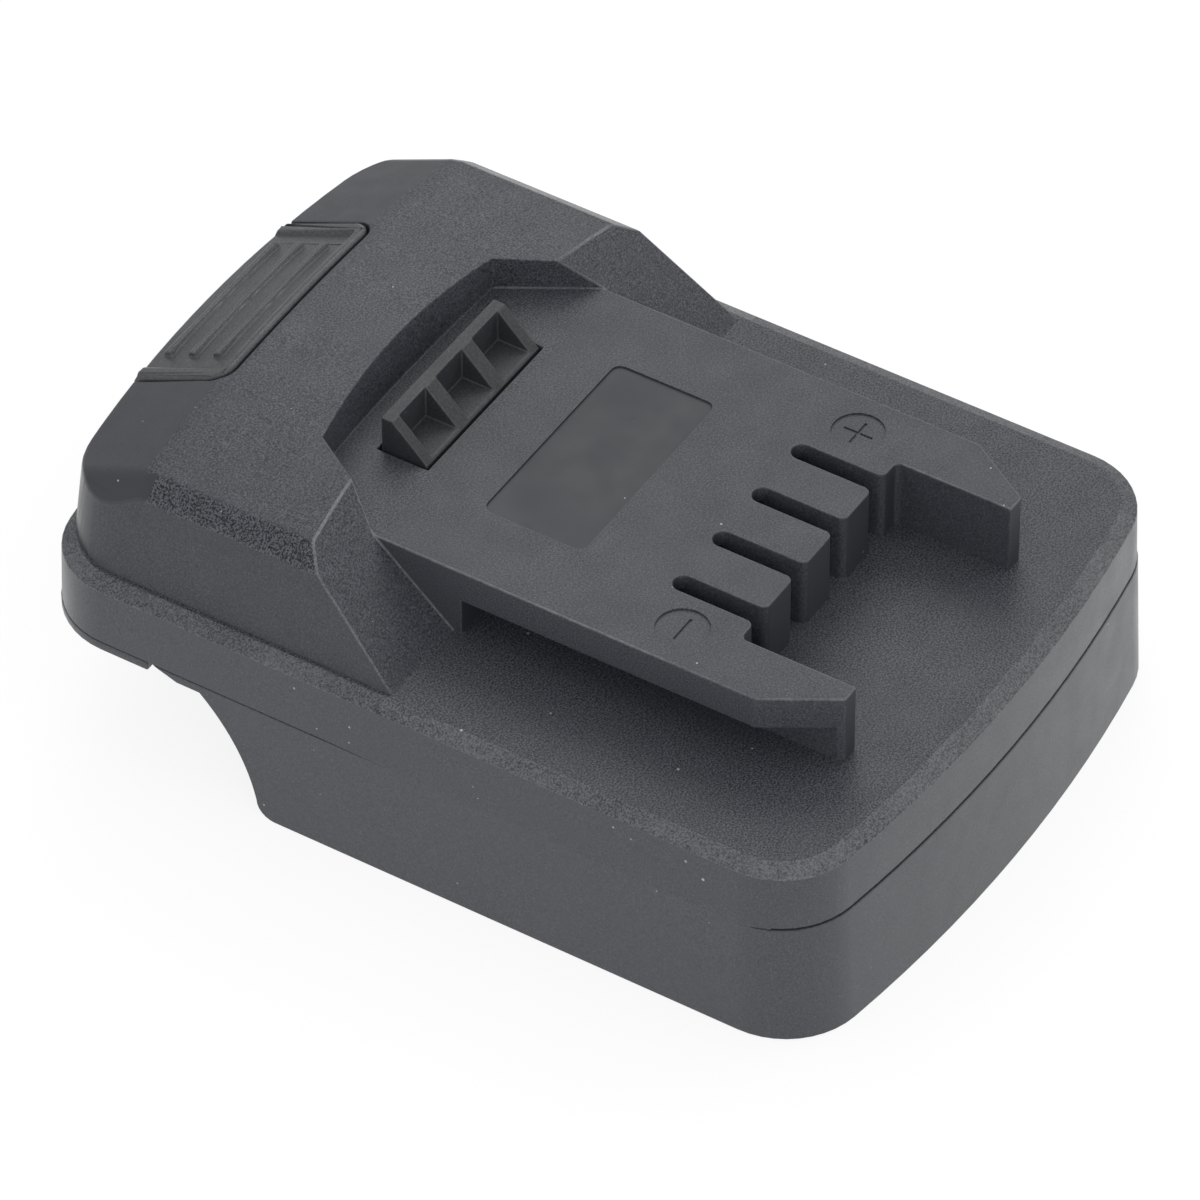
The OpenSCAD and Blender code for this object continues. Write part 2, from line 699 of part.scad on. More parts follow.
module lower_shell() {
    color(shell_grey)
        difference() {
            union() {
                difference() {
                    intersection() {
                        loft([[0, lean_front(body_points(seam_step))], [seam_z, body_points(seam_step)]]);
                        along_x(far)
                            skirt_profile();
                    }
                    prism(-over, ceiling_z)
                        polygon(body_points(-bay_inset));
                }
                prism(seam_z - over, plate_top_z)
                    polygon(body_points(-wall - fit_gap));
                bay_rails();
                translate([-hook_pocket_w / 2 - pocket_roof_t, hook_pocket_y - pocket_roof_t, seam_z])
                    cube([hook_pocket_w + 2 * pocket_roof_t, hook_pocket_l + 2 * pocket_roof_t,
                        hook_pocket_z + pocket_roof_t - seam_z]);
                at_both_sides() {
                    translate([spring_x, spring_y, plate_top_z - over])
                        cylinder(r = spring_peg_r, h = spring_peg_h + over);
                    translate([board_screw_x, board_screw_y, plate_top_z - over])
                        cylinder(r = small_screw_r + 1.5, h = board_low_z - plate_top_z + over);
                }
            }
            translate([-hook_pocket_w / 2, hook_pocket_y, ceiling_z - over])
                cube([hook_pocket_w, hook_pocket_l, hook_pocket_z - ceiling_z + over]);
            at_both_sides() {
                translate([body_w / 2 - lip_notch_depth + far / 2, 0, 0])
                    along_x(far)
                        lip_notch_profile();
                for (place = [case_screw_front, case_screw_rear]) {
                    translate([place[0], place[1], ceiling_z - over])
                        cylinder(r = case_screw_r + 0.2, h = far);
                    translate([place[0], place[1], ceiling_z - over])
                        cylinder(r = pan_head * case_screw_r + 0.2, h = case_seat_z - ceiling_z + over);
                }
                translate([holder_foot_x, holder_foot_y, ceiling_z - over])
                    cylinder(r = small_screw_r + 0.2, h = far);
                translate([holder_foot_x, holder_foot_y, ceiling_z - over])
                    cylinder(r = pan_head * small_screw_r + 0.2, h = small_head_h + 0.2 + over);
                translate([board_screw_x, board_screw_y, board_low_z - small_screw_l + board_t - 0.4])
                    cylinder(r = small_screw_r + 0.05, h = far);
                translate([block_screw_x(), block_screw_y(), ceiling_z - over])
                    cylinder(r = small_screw_r + 0.2, h = far);
            }
            for (x = blade_xs())
                translate([x - blade_t / 2 - fit_gap, blade_root_y - fit_gap, ceiling_z - over])
                    cube([blade_t + 2 * fit_gap, blade_tail_l + 2 * fit_gap, far]);
        }
}

function blade_xs() = [-blade_spacing / 2, 0, blade_spacing / 2];
function block_screw_x() = blade_spacing / 4;
function block_screw_y() = block_front_y + block_l / 2;

// Rails that carry the battery, with a slanted lead-in at the rear
module bay_rails() {
    wall_x = body_w / 2 - bay_inset;
    rear_y = skirt_rear_y - skirt_corner_r - 1.5;
    lead = 2 * bay_rail_t;
    at_both_sides()
        prism(bay_rail_z, bay_rail_z + bay_rail_t)
            polygon([[wall_x - bay_rail_w, bay_rail_front_y], [wall_x + over, bay_rail_front_y],
                [wall_x + over, rear_y], [wall_x - bay_rail_w / 2, rear_y],
                [wall_x - bay_rail_w, rear_y - lead]]);
}

module case_screws() {
    color(steel)
        at_both_sides()
            for (place = [case_screw_front, case_screw_rear])
                translate([place[0], place[1], 0])
                    turned_over(case_seat_z)
                        screw(case_screw_r, case_screw_tip_z - case_seat_z, case_head_h);
}

module release_button() {
    rib_y = crest_rear_y + rib_start;
    pad_inset = pad_depth - button_proud;
    color(button_grey)
        difference() {
            union() {
                difference() {
                    intersection() {
                        hood_form(-button_proud);
                        prism(apron_z, hood_top_z + 3)
                            button_plan(0);
                    }
                    hood_form(button_t - button_proud);
                    difference() {
                        prism(apron_z - over, hood_top_z + 3)
                            button_plan(-button_rim_w);
                        about_crest(hood_rear_angle - pad_rise, 0)
                            along_y(far)
                                pad_section();
                    }
                }
                for (i = [0:2])
                    about_crest(hood_rear_angle - pad_rise, 0)
                        translate([0, rib_y + rib_pitch * i, hood_top_z - pad_inset - rib_r / 3])
                            rotate([0, 90, 0])
                                cylinder(r = rib_r, h = rib_l, center = true);
                intersection() {
                    hood_form(button_t - button_proud - over);
                    union() {
                        translate([1.2 - button_w / 2, inner_skirt_y - skirt_wall_t, inner_skirt_z])
                            cube([button_w - 2.4, skirt_wall_t, hood_top_z]);
                        at_both_sides()
                            translate([button_post_x, button_post_y, slider_top_z])
                                cylinder(r = button_post_r, h = hood_top_z);
                    }
                }
            }
            at_both_sides()
                translate([button_post_x, button_post_y, slider_top_z - over])
                    cylinder(r = small_screw_r + 0.05, h = small_screw_l - slider_t + 0.8 + over);
        }
}

module latch_slider() {
    front_y = latch_front_y - 1.7;
    color(shell_grey)
        difference() {
            union() {
                translate([-slider_half_w, front_y, slider_low_z])
                    cube([2 * slider_half_w, slider_rear_y - front_y, slider_t]);
                translate([-latch_w / 2 - 4, latch_front_y - 0.9, slider_top_z - over])
                    cube([latch_w + 8, latch_rear_y - latch_front_y + 1.8, stop_h + over]);
                along_x(latch_w)
                    polygon([[latch_front_y, slider_low_z], [latch_front_y, platform_z],
                        [ridge_front_y, latch_top_z], [latch_rear_y, latch_top_z],
                        [latch_rear_y, slider_low_z]]);
                at_both_sides()
                    translate([spring_x, spring_y, slider_low_z - spring_peg_h])
                        cylinder(r = spring_peg_r, h = spring_peg_h + over);
            }
            for (i = [-1:1])
                translate([i * latch_pocket_pitch - latch_pocket_w / 2, latch_front_y - over,
                    platform_z + latch_sill_h])
                    cube([latch_pocket_w, ridge_front_y - latch_front_y + over, latch_rise]);
            at_both_sides()
                translate([button_post_x, button_post_y, slider_low_z - over])
                    cylinder(r = small_screw_r + 0.2, h = slider_t + 1);
        }
}

module button_screws() {
    color(steel)
        at_both_sides()
            translate([button_post_x, button_post_y, 0])
                turned_over(slider_low_z)
                    screw(small_screw_r, small_screw_l, small_head_h);
}

// One coil spring as an unbroken tube of six sides, eight rings to a turn
module coil_spring(low_z, high_z) {
    sides = 6;
    rings = 8 * spring_turns;
    r = spring_wire_d / 2;
    climb = (high_z - low_z - spring_wire_d) / rings;
    points = [for (k = [0:rings]) for (s = [0:sides - 1])
        let (turn = 360 * k / 8, a = 360 * s / sides, out = spring_d / 2 + r * cos(a))
        [out * cos(turn), out * sin(turn), low_z + r + climb * k + r * sin(a)]];
    tube = [for (k = [0:rings - 1]) for (s = [0:sides - 1])
        let (a = k * sides + s, b = k * sides + (s + 1) % sides)
        each [[a, b + sides, a + sides], [a, b, b + sides]]];
    caps = [[for (s = [sides - 1:-1:0]) s], [for (s = [0:sides - 1]) rings * sides + s]];
    polyhedron(points, concat(tube, caps), convexity = 10);
}

module latch_springs() {
    color(steel)
        at_both_sides()
            translate([spring_x, spring_y, 0])
                coil_spring(plate_top_z + spring_end_gap, slider_low_z - spring_end_gap);
}

module terminal_holder() {
    pocket_w = 2 * clip_half_w + 2 * fit_gap;
    color(insulator_black)
        difference() {
            union() {
                translate([-holder_half_w, holder_front_y, holder_low_z])
                    cube([2 * holder_half_w, holder_rear_y - holder_front_y, holder_top_z - holder_low_z]);
                at_both_sides()
                    translate([holder_foot_x, holder_foot_y, plate_top_z])
                        cylinder(r = holder_foot_r, h = holder_low_z - plate_top_z + over);
            }
            for (x = slot_xs) {
                translate([x - pocket_w / 2, holder_front_y - over, clip_low_z - fit_gap])
                    cube([pocket_w, clip_root_y - holder_front_y + over + fit_gap, clip_h + 2 * fit_gap]);
                translate([x - clip_tail_w / 2 - fit_gap, clip_root_y - over, clip_low_z - fit_gap])
                    cube([clip_tail_w + 2 * fit_gap, far, clip_tail_h + 2 * fit_gap]);
            }
            at_both_sides()
                translate([holder_foot_x, holder_foot_y, plate_top_z - over])
                    cylinder(r = small_screw_r + 0.05, h = small_screw_l + over);
        }
}

module holder_screws() {
    color(steel)
        at_both_sides()
            translate([holder_foot_x, holder_foot_y, 0])
                turned_over(ceiling_z + small_head_h + 0.2)
                    screw(small_screw_r, small_screw_l + 0.8, small_head_h);
}

// Spring clip that grips a tool's blade: two leaves, a root and a tail down to the board
module tool_clip(x) {
    mouth_y = holder_front_y + 0.3;
    pinch_y = mouth_y + 2.4;
    bend_y = clip_root_y - 2;
    pinch = 0.3;
    outer = [[clip_half_w, clip_root_y], [clip_half_w, bend_y], [pinch + clip_t, pinch_y],
        [clip_half_w - 0.1, mouth_y]];
    inner = [[clip_half_w - 0.1 - clip_t, mouth_y], [pinch, pinch_y], [clip_half_w - clip_t, bend_y],
        [clip_half_w - clip_t, clip_root_y - clip_t]];
    half = concat(outer, inner);
    foot_end_y = clip_foot_y + clip_foot_l;
    color(nickel)
        translate([x, 0, 0])
            union() {
                prism(clip_low_z, clip_low_z + clip_h)
                    polygon(concat(half, [for (i = [len(half) - 1:-1:0]) [-half[i][0], half[i][1]]]));
                along_x(clip_tail_w)
                    polygon([[clip_root_y - clip_t, clip_low_z], [clip_foot_y, clip_low_z],
                        [clip_foot_y, board_top_z], [foot_end_y, board_top_z],
                        [foot_end_y, clip_low_z + clip_tail_h],
                        [clip_root_y - clip_t, clip_low_z + clip_tail_h]]);
            }
}

module tool_clip_negative() {
    tool_clip(slot_xs[0]);
}

module tool_clip_data() {
    tool_clip(slot_xs[1]);
}

module tool_clip_sense() {
    tool_clip(slot_xs[2]);
}

module tool_clip_positive() {
    tool_clip(slot_xs[3]);
}

module circuit_board() {
    color(board_green)
        difference() {
            translate([-board_w / 2, board_y, board_low_z])
                cube([board_w, board_l, board_t]);
            at_both_sides()
                translate([board_screw_x, board_screw_y, board_low_z - over])
                    cylinder(r = small_screw_r + 0.2, h = board_t + 1);
        }
}

module board_screws() {
    color(steel)
        at_both_sides()
            translate([board_screw_x, board_screw_y, board_top_z])
                screw(small_screw_r, small_screw_l - 0.6, small_head_h);
}

// Parts on the board stand in the rear half of it, behind the clips' feet
module on_board(x) {
    translate([x, board_y + board_l - transistor_l / 2 - 1, board_top_z])
        children();
}

module power_transistors() {
    color(insulator_black)
        at_both_sides()
            on_board((chip_w + transistor_w) / 2 + part_gap)
                translate([-transistor_w / 2, -transistor_l / 2, 0])
                    cube([transistor_w, transistor_l, transistor_h]);
}

module control_chip() {
    color(insulator_black)
        on_board(0)
            translate([-chip_w / 2, -chip_l / 2, 0])
                cube([chip_w, chip_l, chip_h]);
}

module board_capacitor() {
    color(nickel)
        on_board(chip_w / 2 + transistor_w + capacitor_d / 2 + 2 * part_gap)
            cylinder(d = capacitor_d, h = capacitor_h);
}

module battery_terminal_block() {
    color(insulator_black)
        difference() {
            translate([-block_w / 2, block_front_y, block_low_z])
                cube([block_w, block_l, block_h]);
            for (x = blade_xs())
                translate([x - blade_t / 2 - fit_gap, blade_root_y - fit_gap, blade_low_z - fit_gap])
                    cube([blade_t + 2 * fit_gap, far, block_h]);
            at_both_sides()
                translate([block_screw_x(), block_screw_y(), ceiling_z - small_screw_l])
                    cylinder(r = small_screw_r + 0.05, h = far);
        }
}

module block_screws() {
    color(steel)
        at_both_sides()
            translate([block_screw_x(), block_screw_y(), plate_top_z])
                screw(small_screw_r, small_screw_l + plate_top_z - ceiling_z - 0.5, small_head_h);
}

// Terminal blade: a flat tongue in the bay and a tail up through the plate
module battery_blade(x, h, l) {
    tip_y = block_rear_y + l;
    tail_y = blade_root_y + blade_tail_l;
    nose = 1.5;
    color(nickel)
        translate([x, 0, 0])
            along_x(blade_t)
                polygon([[blade_root_y, blade_low_z], [tip_y - nose, blade_low_z],
                    [tip_y, blade_low_z + nose], [tip_y, blade_low_z + h - nose],
                    [tip_y - nose, blade_low_z + h], [tail_y, blade_low_z + h],
                    [tail_y, blade_tail_z], [blade_root_y, blade_tail_z]]);
}

module battery_blade_positive() {
    battery_blade(blade_xs()[2], blade_h, blade_l);
}

module battery_blade_negative() {
    battery_blade(blade_xs()[0], blade_h, blade_l);
}

module battery_blade_signal() {
    battery_blade(blade_xs()[1], signal_blade_h, signal_blade_l);
}

// Insulated wire from a blade's tail to the board's front edge, in one easy bend
module wire(from_x, to_x, d) {
    sides = 8;
    rings = 10;
    from_y = blade_root_y + blade_tail_l;
    run = board_y - from_y;
    shift = to_x - from_x;
    points = [for (k = [0:rings]) for (s = [0:sides - 1])
        let (t = k / rings, ease = t * t * (3 - 2 * t), lean = atan2(6 * shift * t * (1 - t), run),
            a = 360 * s / sides, out = d / 2 * cos(a))
        [from_x + shift * ease + out * cos(lean), from_y + run * t - out * sin(lean),
            wire_z + d / 2 * sin(a)]];
    tube = [for (k = [0:rings - 1]) for (s = [0:sides - 1])
        let (a = k * sides + s, b = k * sides + (s + 1) % sides)
        each [[a, a + sides, b + sides], [a, b + sides, b]]];
    caps = [[for (s = [0:sides - 1]) s], [for (s = [sides - 1:-1:0]) rings * sides + s]];
    polyhedron(points, concat(tube, caps), convexity = 4);
}

module positive_wire() {
    color([0.7, 0.08, 0.07])
        wire(blade_xs()[2], wire_end_x, wire_d);
}

module negative_wire() {
    color([0.06, 0.06, 0.065])
        wire(blade_xs()[0], -wire_end_x, wire_d);
}

module signal_wire() {
    color([0.85, 0.84, 0.8])
        wire(0, 0, signal_wire_d);
}

upper_shell();
lower_shell();
case_screws();
release_button();
latch_slider();
button_screws();
latch_springs();
terminal_holder();
holder_screws();
tool_clip_positive();
tool_clip_negative();
tool_clip_data();
tool_clip_sense();
circuit_board();
board_screws();
power_transistors();
control_chip();
board_capacitor();
battery_terminal_block();
block_screws();
battery_blade_positive();
battery_blade_negative();
battery_blade_signal();
positive_wire();
negative_wire();
signal_wire();
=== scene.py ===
import math

import bpy
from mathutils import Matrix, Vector


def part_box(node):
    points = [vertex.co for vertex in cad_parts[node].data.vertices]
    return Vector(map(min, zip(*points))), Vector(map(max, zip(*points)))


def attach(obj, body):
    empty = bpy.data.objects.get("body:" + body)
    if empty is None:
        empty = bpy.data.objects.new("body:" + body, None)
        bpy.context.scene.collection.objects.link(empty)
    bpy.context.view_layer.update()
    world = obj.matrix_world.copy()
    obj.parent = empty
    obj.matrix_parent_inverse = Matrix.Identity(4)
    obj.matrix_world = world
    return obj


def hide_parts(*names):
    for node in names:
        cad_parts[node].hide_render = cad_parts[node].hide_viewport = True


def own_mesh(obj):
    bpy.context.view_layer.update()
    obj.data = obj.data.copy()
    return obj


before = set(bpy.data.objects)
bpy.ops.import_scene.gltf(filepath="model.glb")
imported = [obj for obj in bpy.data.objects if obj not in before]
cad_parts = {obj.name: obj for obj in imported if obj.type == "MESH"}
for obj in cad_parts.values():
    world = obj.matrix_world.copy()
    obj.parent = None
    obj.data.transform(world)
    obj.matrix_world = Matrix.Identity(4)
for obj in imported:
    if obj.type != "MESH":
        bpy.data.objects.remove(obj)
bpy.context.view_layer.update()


# Upper shell
# One injection moulding in charcoal glass-filled plastic: deck, rim, hood and rail platform. Its
# tool was spark eroded, which leaves the grain; the label place and the polarity discs are sunk
# 0.2 mm. The edges are painted a little lighter, partly as rubbing by handling and partly as
# painted highlight; the rim's chamfer is painted lighter as a highlight, and the faces without
# grain are painted darker as shade.

def loose_copy(name, node, material):
    """A copy of a CAD node's mesh to work on, its loose triangles merged into whole faces."""
    merge_gap = 2e-5
    flat_angle = math.radians(0.6)
    bpy.ops.object.select_all(action="DESELECT")
    piece = bpy.data.objects.new(name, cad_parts[node].data.copy())
    bpy.context.scene.collection.objects.link(piece)
    piece.data.materials.clear()
    piece.data.materials.append(material)
    piece.select_set(True)
    bpy.context.view_layer.objects.active = piece
    bpy.ops.mesh.customdata_custom_splitnormals_clear()
    bpy.ops.object.mode_set(mode="EDIT")
    bpy.ops.mesh.select_all(action="SELECT")
    bpy.ops.mesh.remove_doubles(threshold=merge_gap)
    bpy.ops.mesh.dissolve_limited(angle_limit=flat_angle)
    bpy.ops.object.mode_set(mode="OBJECT")
    return piece


def split_faces(piece, xs=(), ys=()):
    """Cuts the big faces along planes across X and Y, so that none wraps round a hole."""
    bpy.ops.object.mode_set(mode="EDIT")
    for x in xs:
        bpy.ops.mesh.select_all(action="SELECT")
        bpy.ops.mesh.bisect(plane_co=(x, 0, 0), plane_no=(1, 0, 0), threshold=1e-5)
    for y in ys:
        bpy.ops.mesh.select_all(action="SELECT")
        bpy.ops.mesh.bisect(plane_co=(0, y, 0), plane_no=(0, 1, 0), threshold=1e-5)
    bpy.ops.object.mode_set(mode="OBJECT")


def round_edges(piece, radius, wanted, looks=(0, 25, 50, 75), steps=2):
    """Rounds the sharp edges that pass the test and can be seen from one of the given elevations.
    The rounded strips are marked with a second slot of the piece's material."""
    sharp_angle = math.radians(24)
    headings = 12
    lift = 0.0001
    graze = -0.3
    mesh = piece.data
    if len(mesh.materials) == 1:
        mesh.materials.append(mesh.materials[0])
    bpy.ops.object.mode_set(mode="EDIT")
    bpy.ops.mesh.select_mode(type="EDGE")
    bpy.ops.mesh.select_all(action="DESELECT")
    bpy.ops.mesh.edges_select_sharp(sharpness=sharp_angle)
    bpy.ops.object.mode_set(mode="OBJECT")
    sides = {}
    for face in mesh.polygons:
        for key in face.edge_keys:
            sides.setdefault(key, []).append((face.normal.copy(), face.center.copy()))
    turns = [math.radians(360 / headings * i) for i in range(headings)]
    rays = [Vector((math.cos(a) * math.cos(e), math.sin(a) * math.cos(e), math.sin(e)))
            for e in map(math.radians, looks) for a in turns]
    chosen = [False] * len(mesh.edges)
    for edge in mesh.edges:
        if not edge.select:
            continue
        a, b = (mesh.vertices[i].co for i in edge.vertices)
        about = sides[tuple(sorted(edge.vertices))]
        if len(about) != 2:
            continue
        (normal, centre), (next_normal, next_centre) = about
        hollow = normal.dot(next_centre - centre) > 0
        if not wanted((a + b) / 2, b - a, hollow):
            continue
        outward = (normal + next_normal).normalized()
        start = (a + b) / 2 + lift * outward
        chosen[edge.index] = any(ray.dot(outward) > graze and not piece.ray_cast(start, ray)[0]
                                 for ray in rays)
    mesh.vertices.foreach_set("select", [False] * len(mesh.vertices))
    mesh.polygons.foreach_set("select", [False] * len(mesh.polygons))
    mesh.edges.foreach_set("select", chosen)
    bpy.ops.object.mode_set(mode="EDIT")
    bpy.ops.mesh.bevel(offset=radius, segments=steps, profile=0.5, clamp_overlap=False, material=1)
    bpy.ops.object.mode_set(mode="OBJECT")


def finish_faces(piece, grain_of, wear_and_highlight_of=lambda centre, normal, strip: 0.3 * strip,
                 polish_of=lambda centre, normal: 0.0):
    """Sets each face's grain, wear with painted edge highlight, and polish, then smooths the shading.
    The wear and highlight is told whether the face is a rounded strip."""
    smooth_angle = math.radians(32)
    mesh = piece.data
    kinds = ("rubbed_and_highlit", "grain", "polish")
    for kind in kinds:
        mesh.attributes.new(kind, "FLOAT", "FACE")
    rubbed_and_highlit, grain, polish = (mesh.attributes[kind].data for kind in kinds)
    for face in mesh.polygons:
        rubbed_and_highlit[face.index].value = wear_and_highlight_of(face.center, face.normal, face.material_index == 1)
        grain[face.index].value = grain_of(face.center, face.normal)
        polish[face.index].value = polish_of(face.center, face.normal)
        face.material_index = 0
    while len(mesh.materials) > 1:
        mesh.materials.pop()
    bpy.ops.object.select_all(action="DESELECT")
    piece.select_set(True)
    bpy.context.view_layer.objects.active = piece
    bpy.ops.object.shade_smooth_by_angle(angle=smooth_angle)
    even = piece.modifiers.new("even_shading", "WEIGHTED_NORMAL")
    even.keep_sharp = True
    bpy.ops.object.modifier_apply(modifier=even.name)


def new_group(name, inputs, outputs):
    """An empty shader node group with float sockets, its inputs with their usual values."""
    group = bpy.data.node_groups.new(name, "ShaderNodeTree")
    for socket, value in inputs.items():
        made = group.interface.new_socket(name=socket, in_out="INPUT", socket_type="NodeSocketFloat")
        made.default_value = value
    for socket in outputs:
        group.interface.new_socket(name=socket, in_out="OUTPUT", socket_type="NodeSocketFloat")
    return group, group.nodes.new("NodeGroupInput"), group.nodes.new("NodeGroupOutput")


def object_place(tree):
    """The socket of the piece's own coordinates."""
    return tree.nodes.new("ShaderNodeTexCoord").outputs["Object"]


def maths(tree, operation, a, b, clamp=False):
    """A Math node on two values or sockets; gives its output socket."""
    node = tree.nodes.new("ShaderNodeMath")
    node.operation = operation
    node.use_clamp = clamp
    for slot, value in ((0, a), (1, b)):
        if isinstance(value, (int, float)):
            node.inputs[slot].default_value = value
        else:
            tree.links.new(value, node.inputs[slot])
    return node.outputs[0]


def spread(tree, value, low, high, to_low=0.0, to_high=1.0):
    """A clamped Map Range; gives its output socket."""
    node = tree.nodes.new("ShaderNodeMapRange")
    node.clamp = True
    tree.links.new(value, node.inputs["Value"])
    node.inputs["From Min"].default_value = low
    node.inputs["From Max"].default_value = high
    node.inputs["To Min"].default_value = to_low
    node.inputs["To Max"].default_value = to_high
    return node.outputs["Result"]


def noise(tree, place, scale, detail=1.0, rough=0.5):
    """A Noise Texture on the given coordinates; gives its value socket."""
    node = tree.nodes.new("ShaderNodeTexNoise")
    tree.links.new(place, node.inputs["Vector"])
    node.inputs["Scale"].default_value = scale
    node.inputs["Detail"].default_value = detail
    node.inputs["Roughness"].default_value = rough
    return node.outputs["Fac"]


def attribute(tree, name):
    """The value socket of a mesh attribute."""
    node = tree.nodes.new("ShaderNodeAttribute")
    node.attribute_name = name
    return node.outputs["Fac"]


def blend(tree, factor, a, b):
    """A colour Mix; a and b are colours or sockets. Gives its colour socket."""
    node = tree.nodes.new("ShaderNodeMix")
    node.data_type = "RGBA"
    tree.links.new(factor, node.inputs[0])
    for slot, value in ((6, a), (7, b)):
        if isinstance(value, tuple):
            node.inputs[slot].default_value = (*value, 1.0)
        else:
            tree.links.new(value, node.inputs[slot])
    return node.outputs[2]


def spark_grain():
    """Spark-eroded grain: small rounded pits and peaks, deeper and more uneven in tone where the
    grain attribute is higher, with painted glints on the highest peaks. Faces with little or no
    grain get a darker tone, which is painted shade."""
    group, given, result = new_group("spark_grain", {"Scale": 4400.0}, ("Height", "Tone"))
    place = object_place(group)
    pits = noise(group, place, scale=1.0, detail=2.0, rough=0.6)
    group.links.new(given.outputs["Scale"], pits.node.inputs["Scale"])
    depth = attribute(group, "grain")
    patchy = spread(group, noise(group, place, scale=90.0, detail=2.0), 0.3, 0.7, 0.75, 1.25)
    level = maths(group, "SUBTRACT", pits, 0.5)
    uneven = maths(group, "MULTIPLY", level, maths(group, "MULTIPLY", depth, patchy))
    group.links.new(uneven, result.inputs["Height"])
    # painted shade: faces with little or no grain get a darker middle tone
    bare_face_shade = spread(group, depth, 0.0, 0.12, 0.33, 0.5)
    tone = maths(group, "ADD", maths(group, "MULTIPLY", uneven, 8.0), bare_face_shade, clamp=True)
    # painted glints: the highest grain peaks are made lighter in colour, more so where the grain is
    # deeper
    peaks = spread(group, pits, 0.62, 0.74)
    painted_glint = maths(group, "MULTIPLY", peaks, spread(group, depth, 0.0, 0.5, 0.0, 0.9))
    group.links.new(maths(group, "ADD", tone, painted_glint), result.inputs["Tone"])
    return group


def rubbed_and_highlit_edges():
    """Edges made lighter in colour, partly rubbed by handling and partly painted highlight: the
    marked faces, broken up as handling breaks them up.
    """
    group, given, result = new_group("rubbed_and_highlit_edges", {"Amount": 0.6}, ("Mask",))
    place = object_place(group)
    specks = spread(group, noise(group, place, scale=1500.0, detail=2.0, rough=0.7), 0.30, 0.60, 0.4)
    patches = spread(group, noise(group, place, scale=70.0, detail=2.0), 0.30, 0.65, 0.4)
    broken = maths(group, "MULTIPLY", specks, patches)
    worn_and_highlit = maths(group, "MULTIPLY", attribute(group, "rubbed_and_highlit"), broken)
    group.links.new(maths(group, "MULTIPLY", worn_and_highlit, given.outputs["Amount"]), result.inputs["Mask"])
    return group


def dust_specks():
    """Settled dust: rare pale specks of a tenth or two of a millimetre."""
    group, given, result = new_group("dust_specks", {"Share": 0.1}, ("Mask",))
    cells = group.nodes.new("ShaderNodeTexVoronoi")
    cells.inputs["Scale"].default_value = 420.0
    group.links.new(object_place(group), cells.inputs["Vector"])
    chance = group.nodes.new("ShaderNodeSeparateColor")
    group.links.new(cells.outputs["Color"], chance.inputs["Color"])
    size = maths(group, "MULTIPLY", chance.outputs["Green"], 0.08)
    speck = maths(group, "LESS_THAN", cells.outputs["Distance"], size)
    kept = maths(group, "LESS_THAN", chance.outputs["Red"], given.outputs["Share"])
    shown = maths(group, "MULTIPLY", speck, kept)
    group.links.new(maths(group, "MULTIPLY", shown, chance.outputs["Blue"]), result.inputs["Mask"])
    return group


def placed(tree, group, **values):
    """A node group placed in a material with its own values."""
    node = tree.nodes.new("ShaderNodeGroup")
    node.node_tree = group
    for name, value in values.items():
        node.inputs[name].default_value = value
    return node


def shade(colour, factor):
    """A colour made lighter or darker."""
    return tuple(min(1.0, c * factor) for c in colour)


def new_material(name):
    """A material with its node tree and its Principled shader."""
    material = bpy.data.materials.new(name)
    material.use_nodes = True
    return material, material.node_tree, material.node_tree.nodes["Principled BSDF"]


def add_bump(tree, shader, height, distance):
    """Feeds a height to the shader's normal."""
    bump = tree.nodes.new("ShaderNodeBump")
    bump.inputs["Strength"].default_value = 1.0
    bump.inputs["Distance"].default_value = distance
    tree.links.new(height, bump.inputs["Height"])
    tree.links.new(bump.outputs["Normal"], shader.inputs["Normal"])


grain_group, rub_and_highlight_group, dust_group = spark_grain(), rubbed_and_highlit_edges(), dust_specks()


def moulded_plastic(name, colour, rub_and_highlight_colour, roughness, grain_depth, rub_and_highlight=0.6, dust=0.12):
    """A moulded plastic: grain with painted glints and painted shade, faint mottling, edges made
    lighter as rubbing and painted highlight, dust and smoother polished faces.
    """
    dust_colour = (0.5, 0.5, 0.5)
    material, tree, shader = new_material(name)
    place = object_place(tree)
    grain = placed(tree, grain_group)
    edges = placed(tree, rub_and_highlight_group, Amount=rub_and_highlight)
    specks = placed(tree, dust_group, Share=dust)
    toned = blend(tree, grain.outputs["Tone"], shade(colour, 0.05), shade(colour, 1.95))
    mottle = spread(tree, noise(tree, place, scale=45.0, detail=3.0), 0.3, 0.7, 0.0, 0.04)
    mottled = blend(tree, mottle, toned, shade(colour, 2.0))
    # edges lighter in colour: partly rubbed by handling, partly painted highlight
    worn_and_highlit = blend(tree, edges.outputs["Mask"], mottled, rub_and_highlight_colour)
    dusty = blend(tree, specks.outputs["Mask"], worn_and_highlit, dust_colour)
    tree.links.new(dusty, shader.inputs["Base Color"])
    uneven = spread(tree, noise(tree, place, scale=240.0, detail=2.0), 0.3, 0.7,
                    roughness - 0.04, roughness + 0.04)
    smoother = maths(tree, "MULTIPLY", attribute(tree, "polish"), 0.2)
    tree.links.new(maths(tree, "SUBTRACT", uneven, smoother), shader.inputs["Roughness"])
    add_bump(tree, shader, grain.outputs["Height"], grain_depth)
    return material


shell_plastic = moulded_plastic(
    "charcoal_moulding", colour=(0.0535, 0.0568, 0.0675), rub_and_highlight_colour=(0.25, 0.253, 0.26),
    roughness=0.5, grain_depth=7e-5, rub_and_highlight=1.0, dust=0.3)
upper = loose_copy("case_top", "upper_shell", shell_plastic)

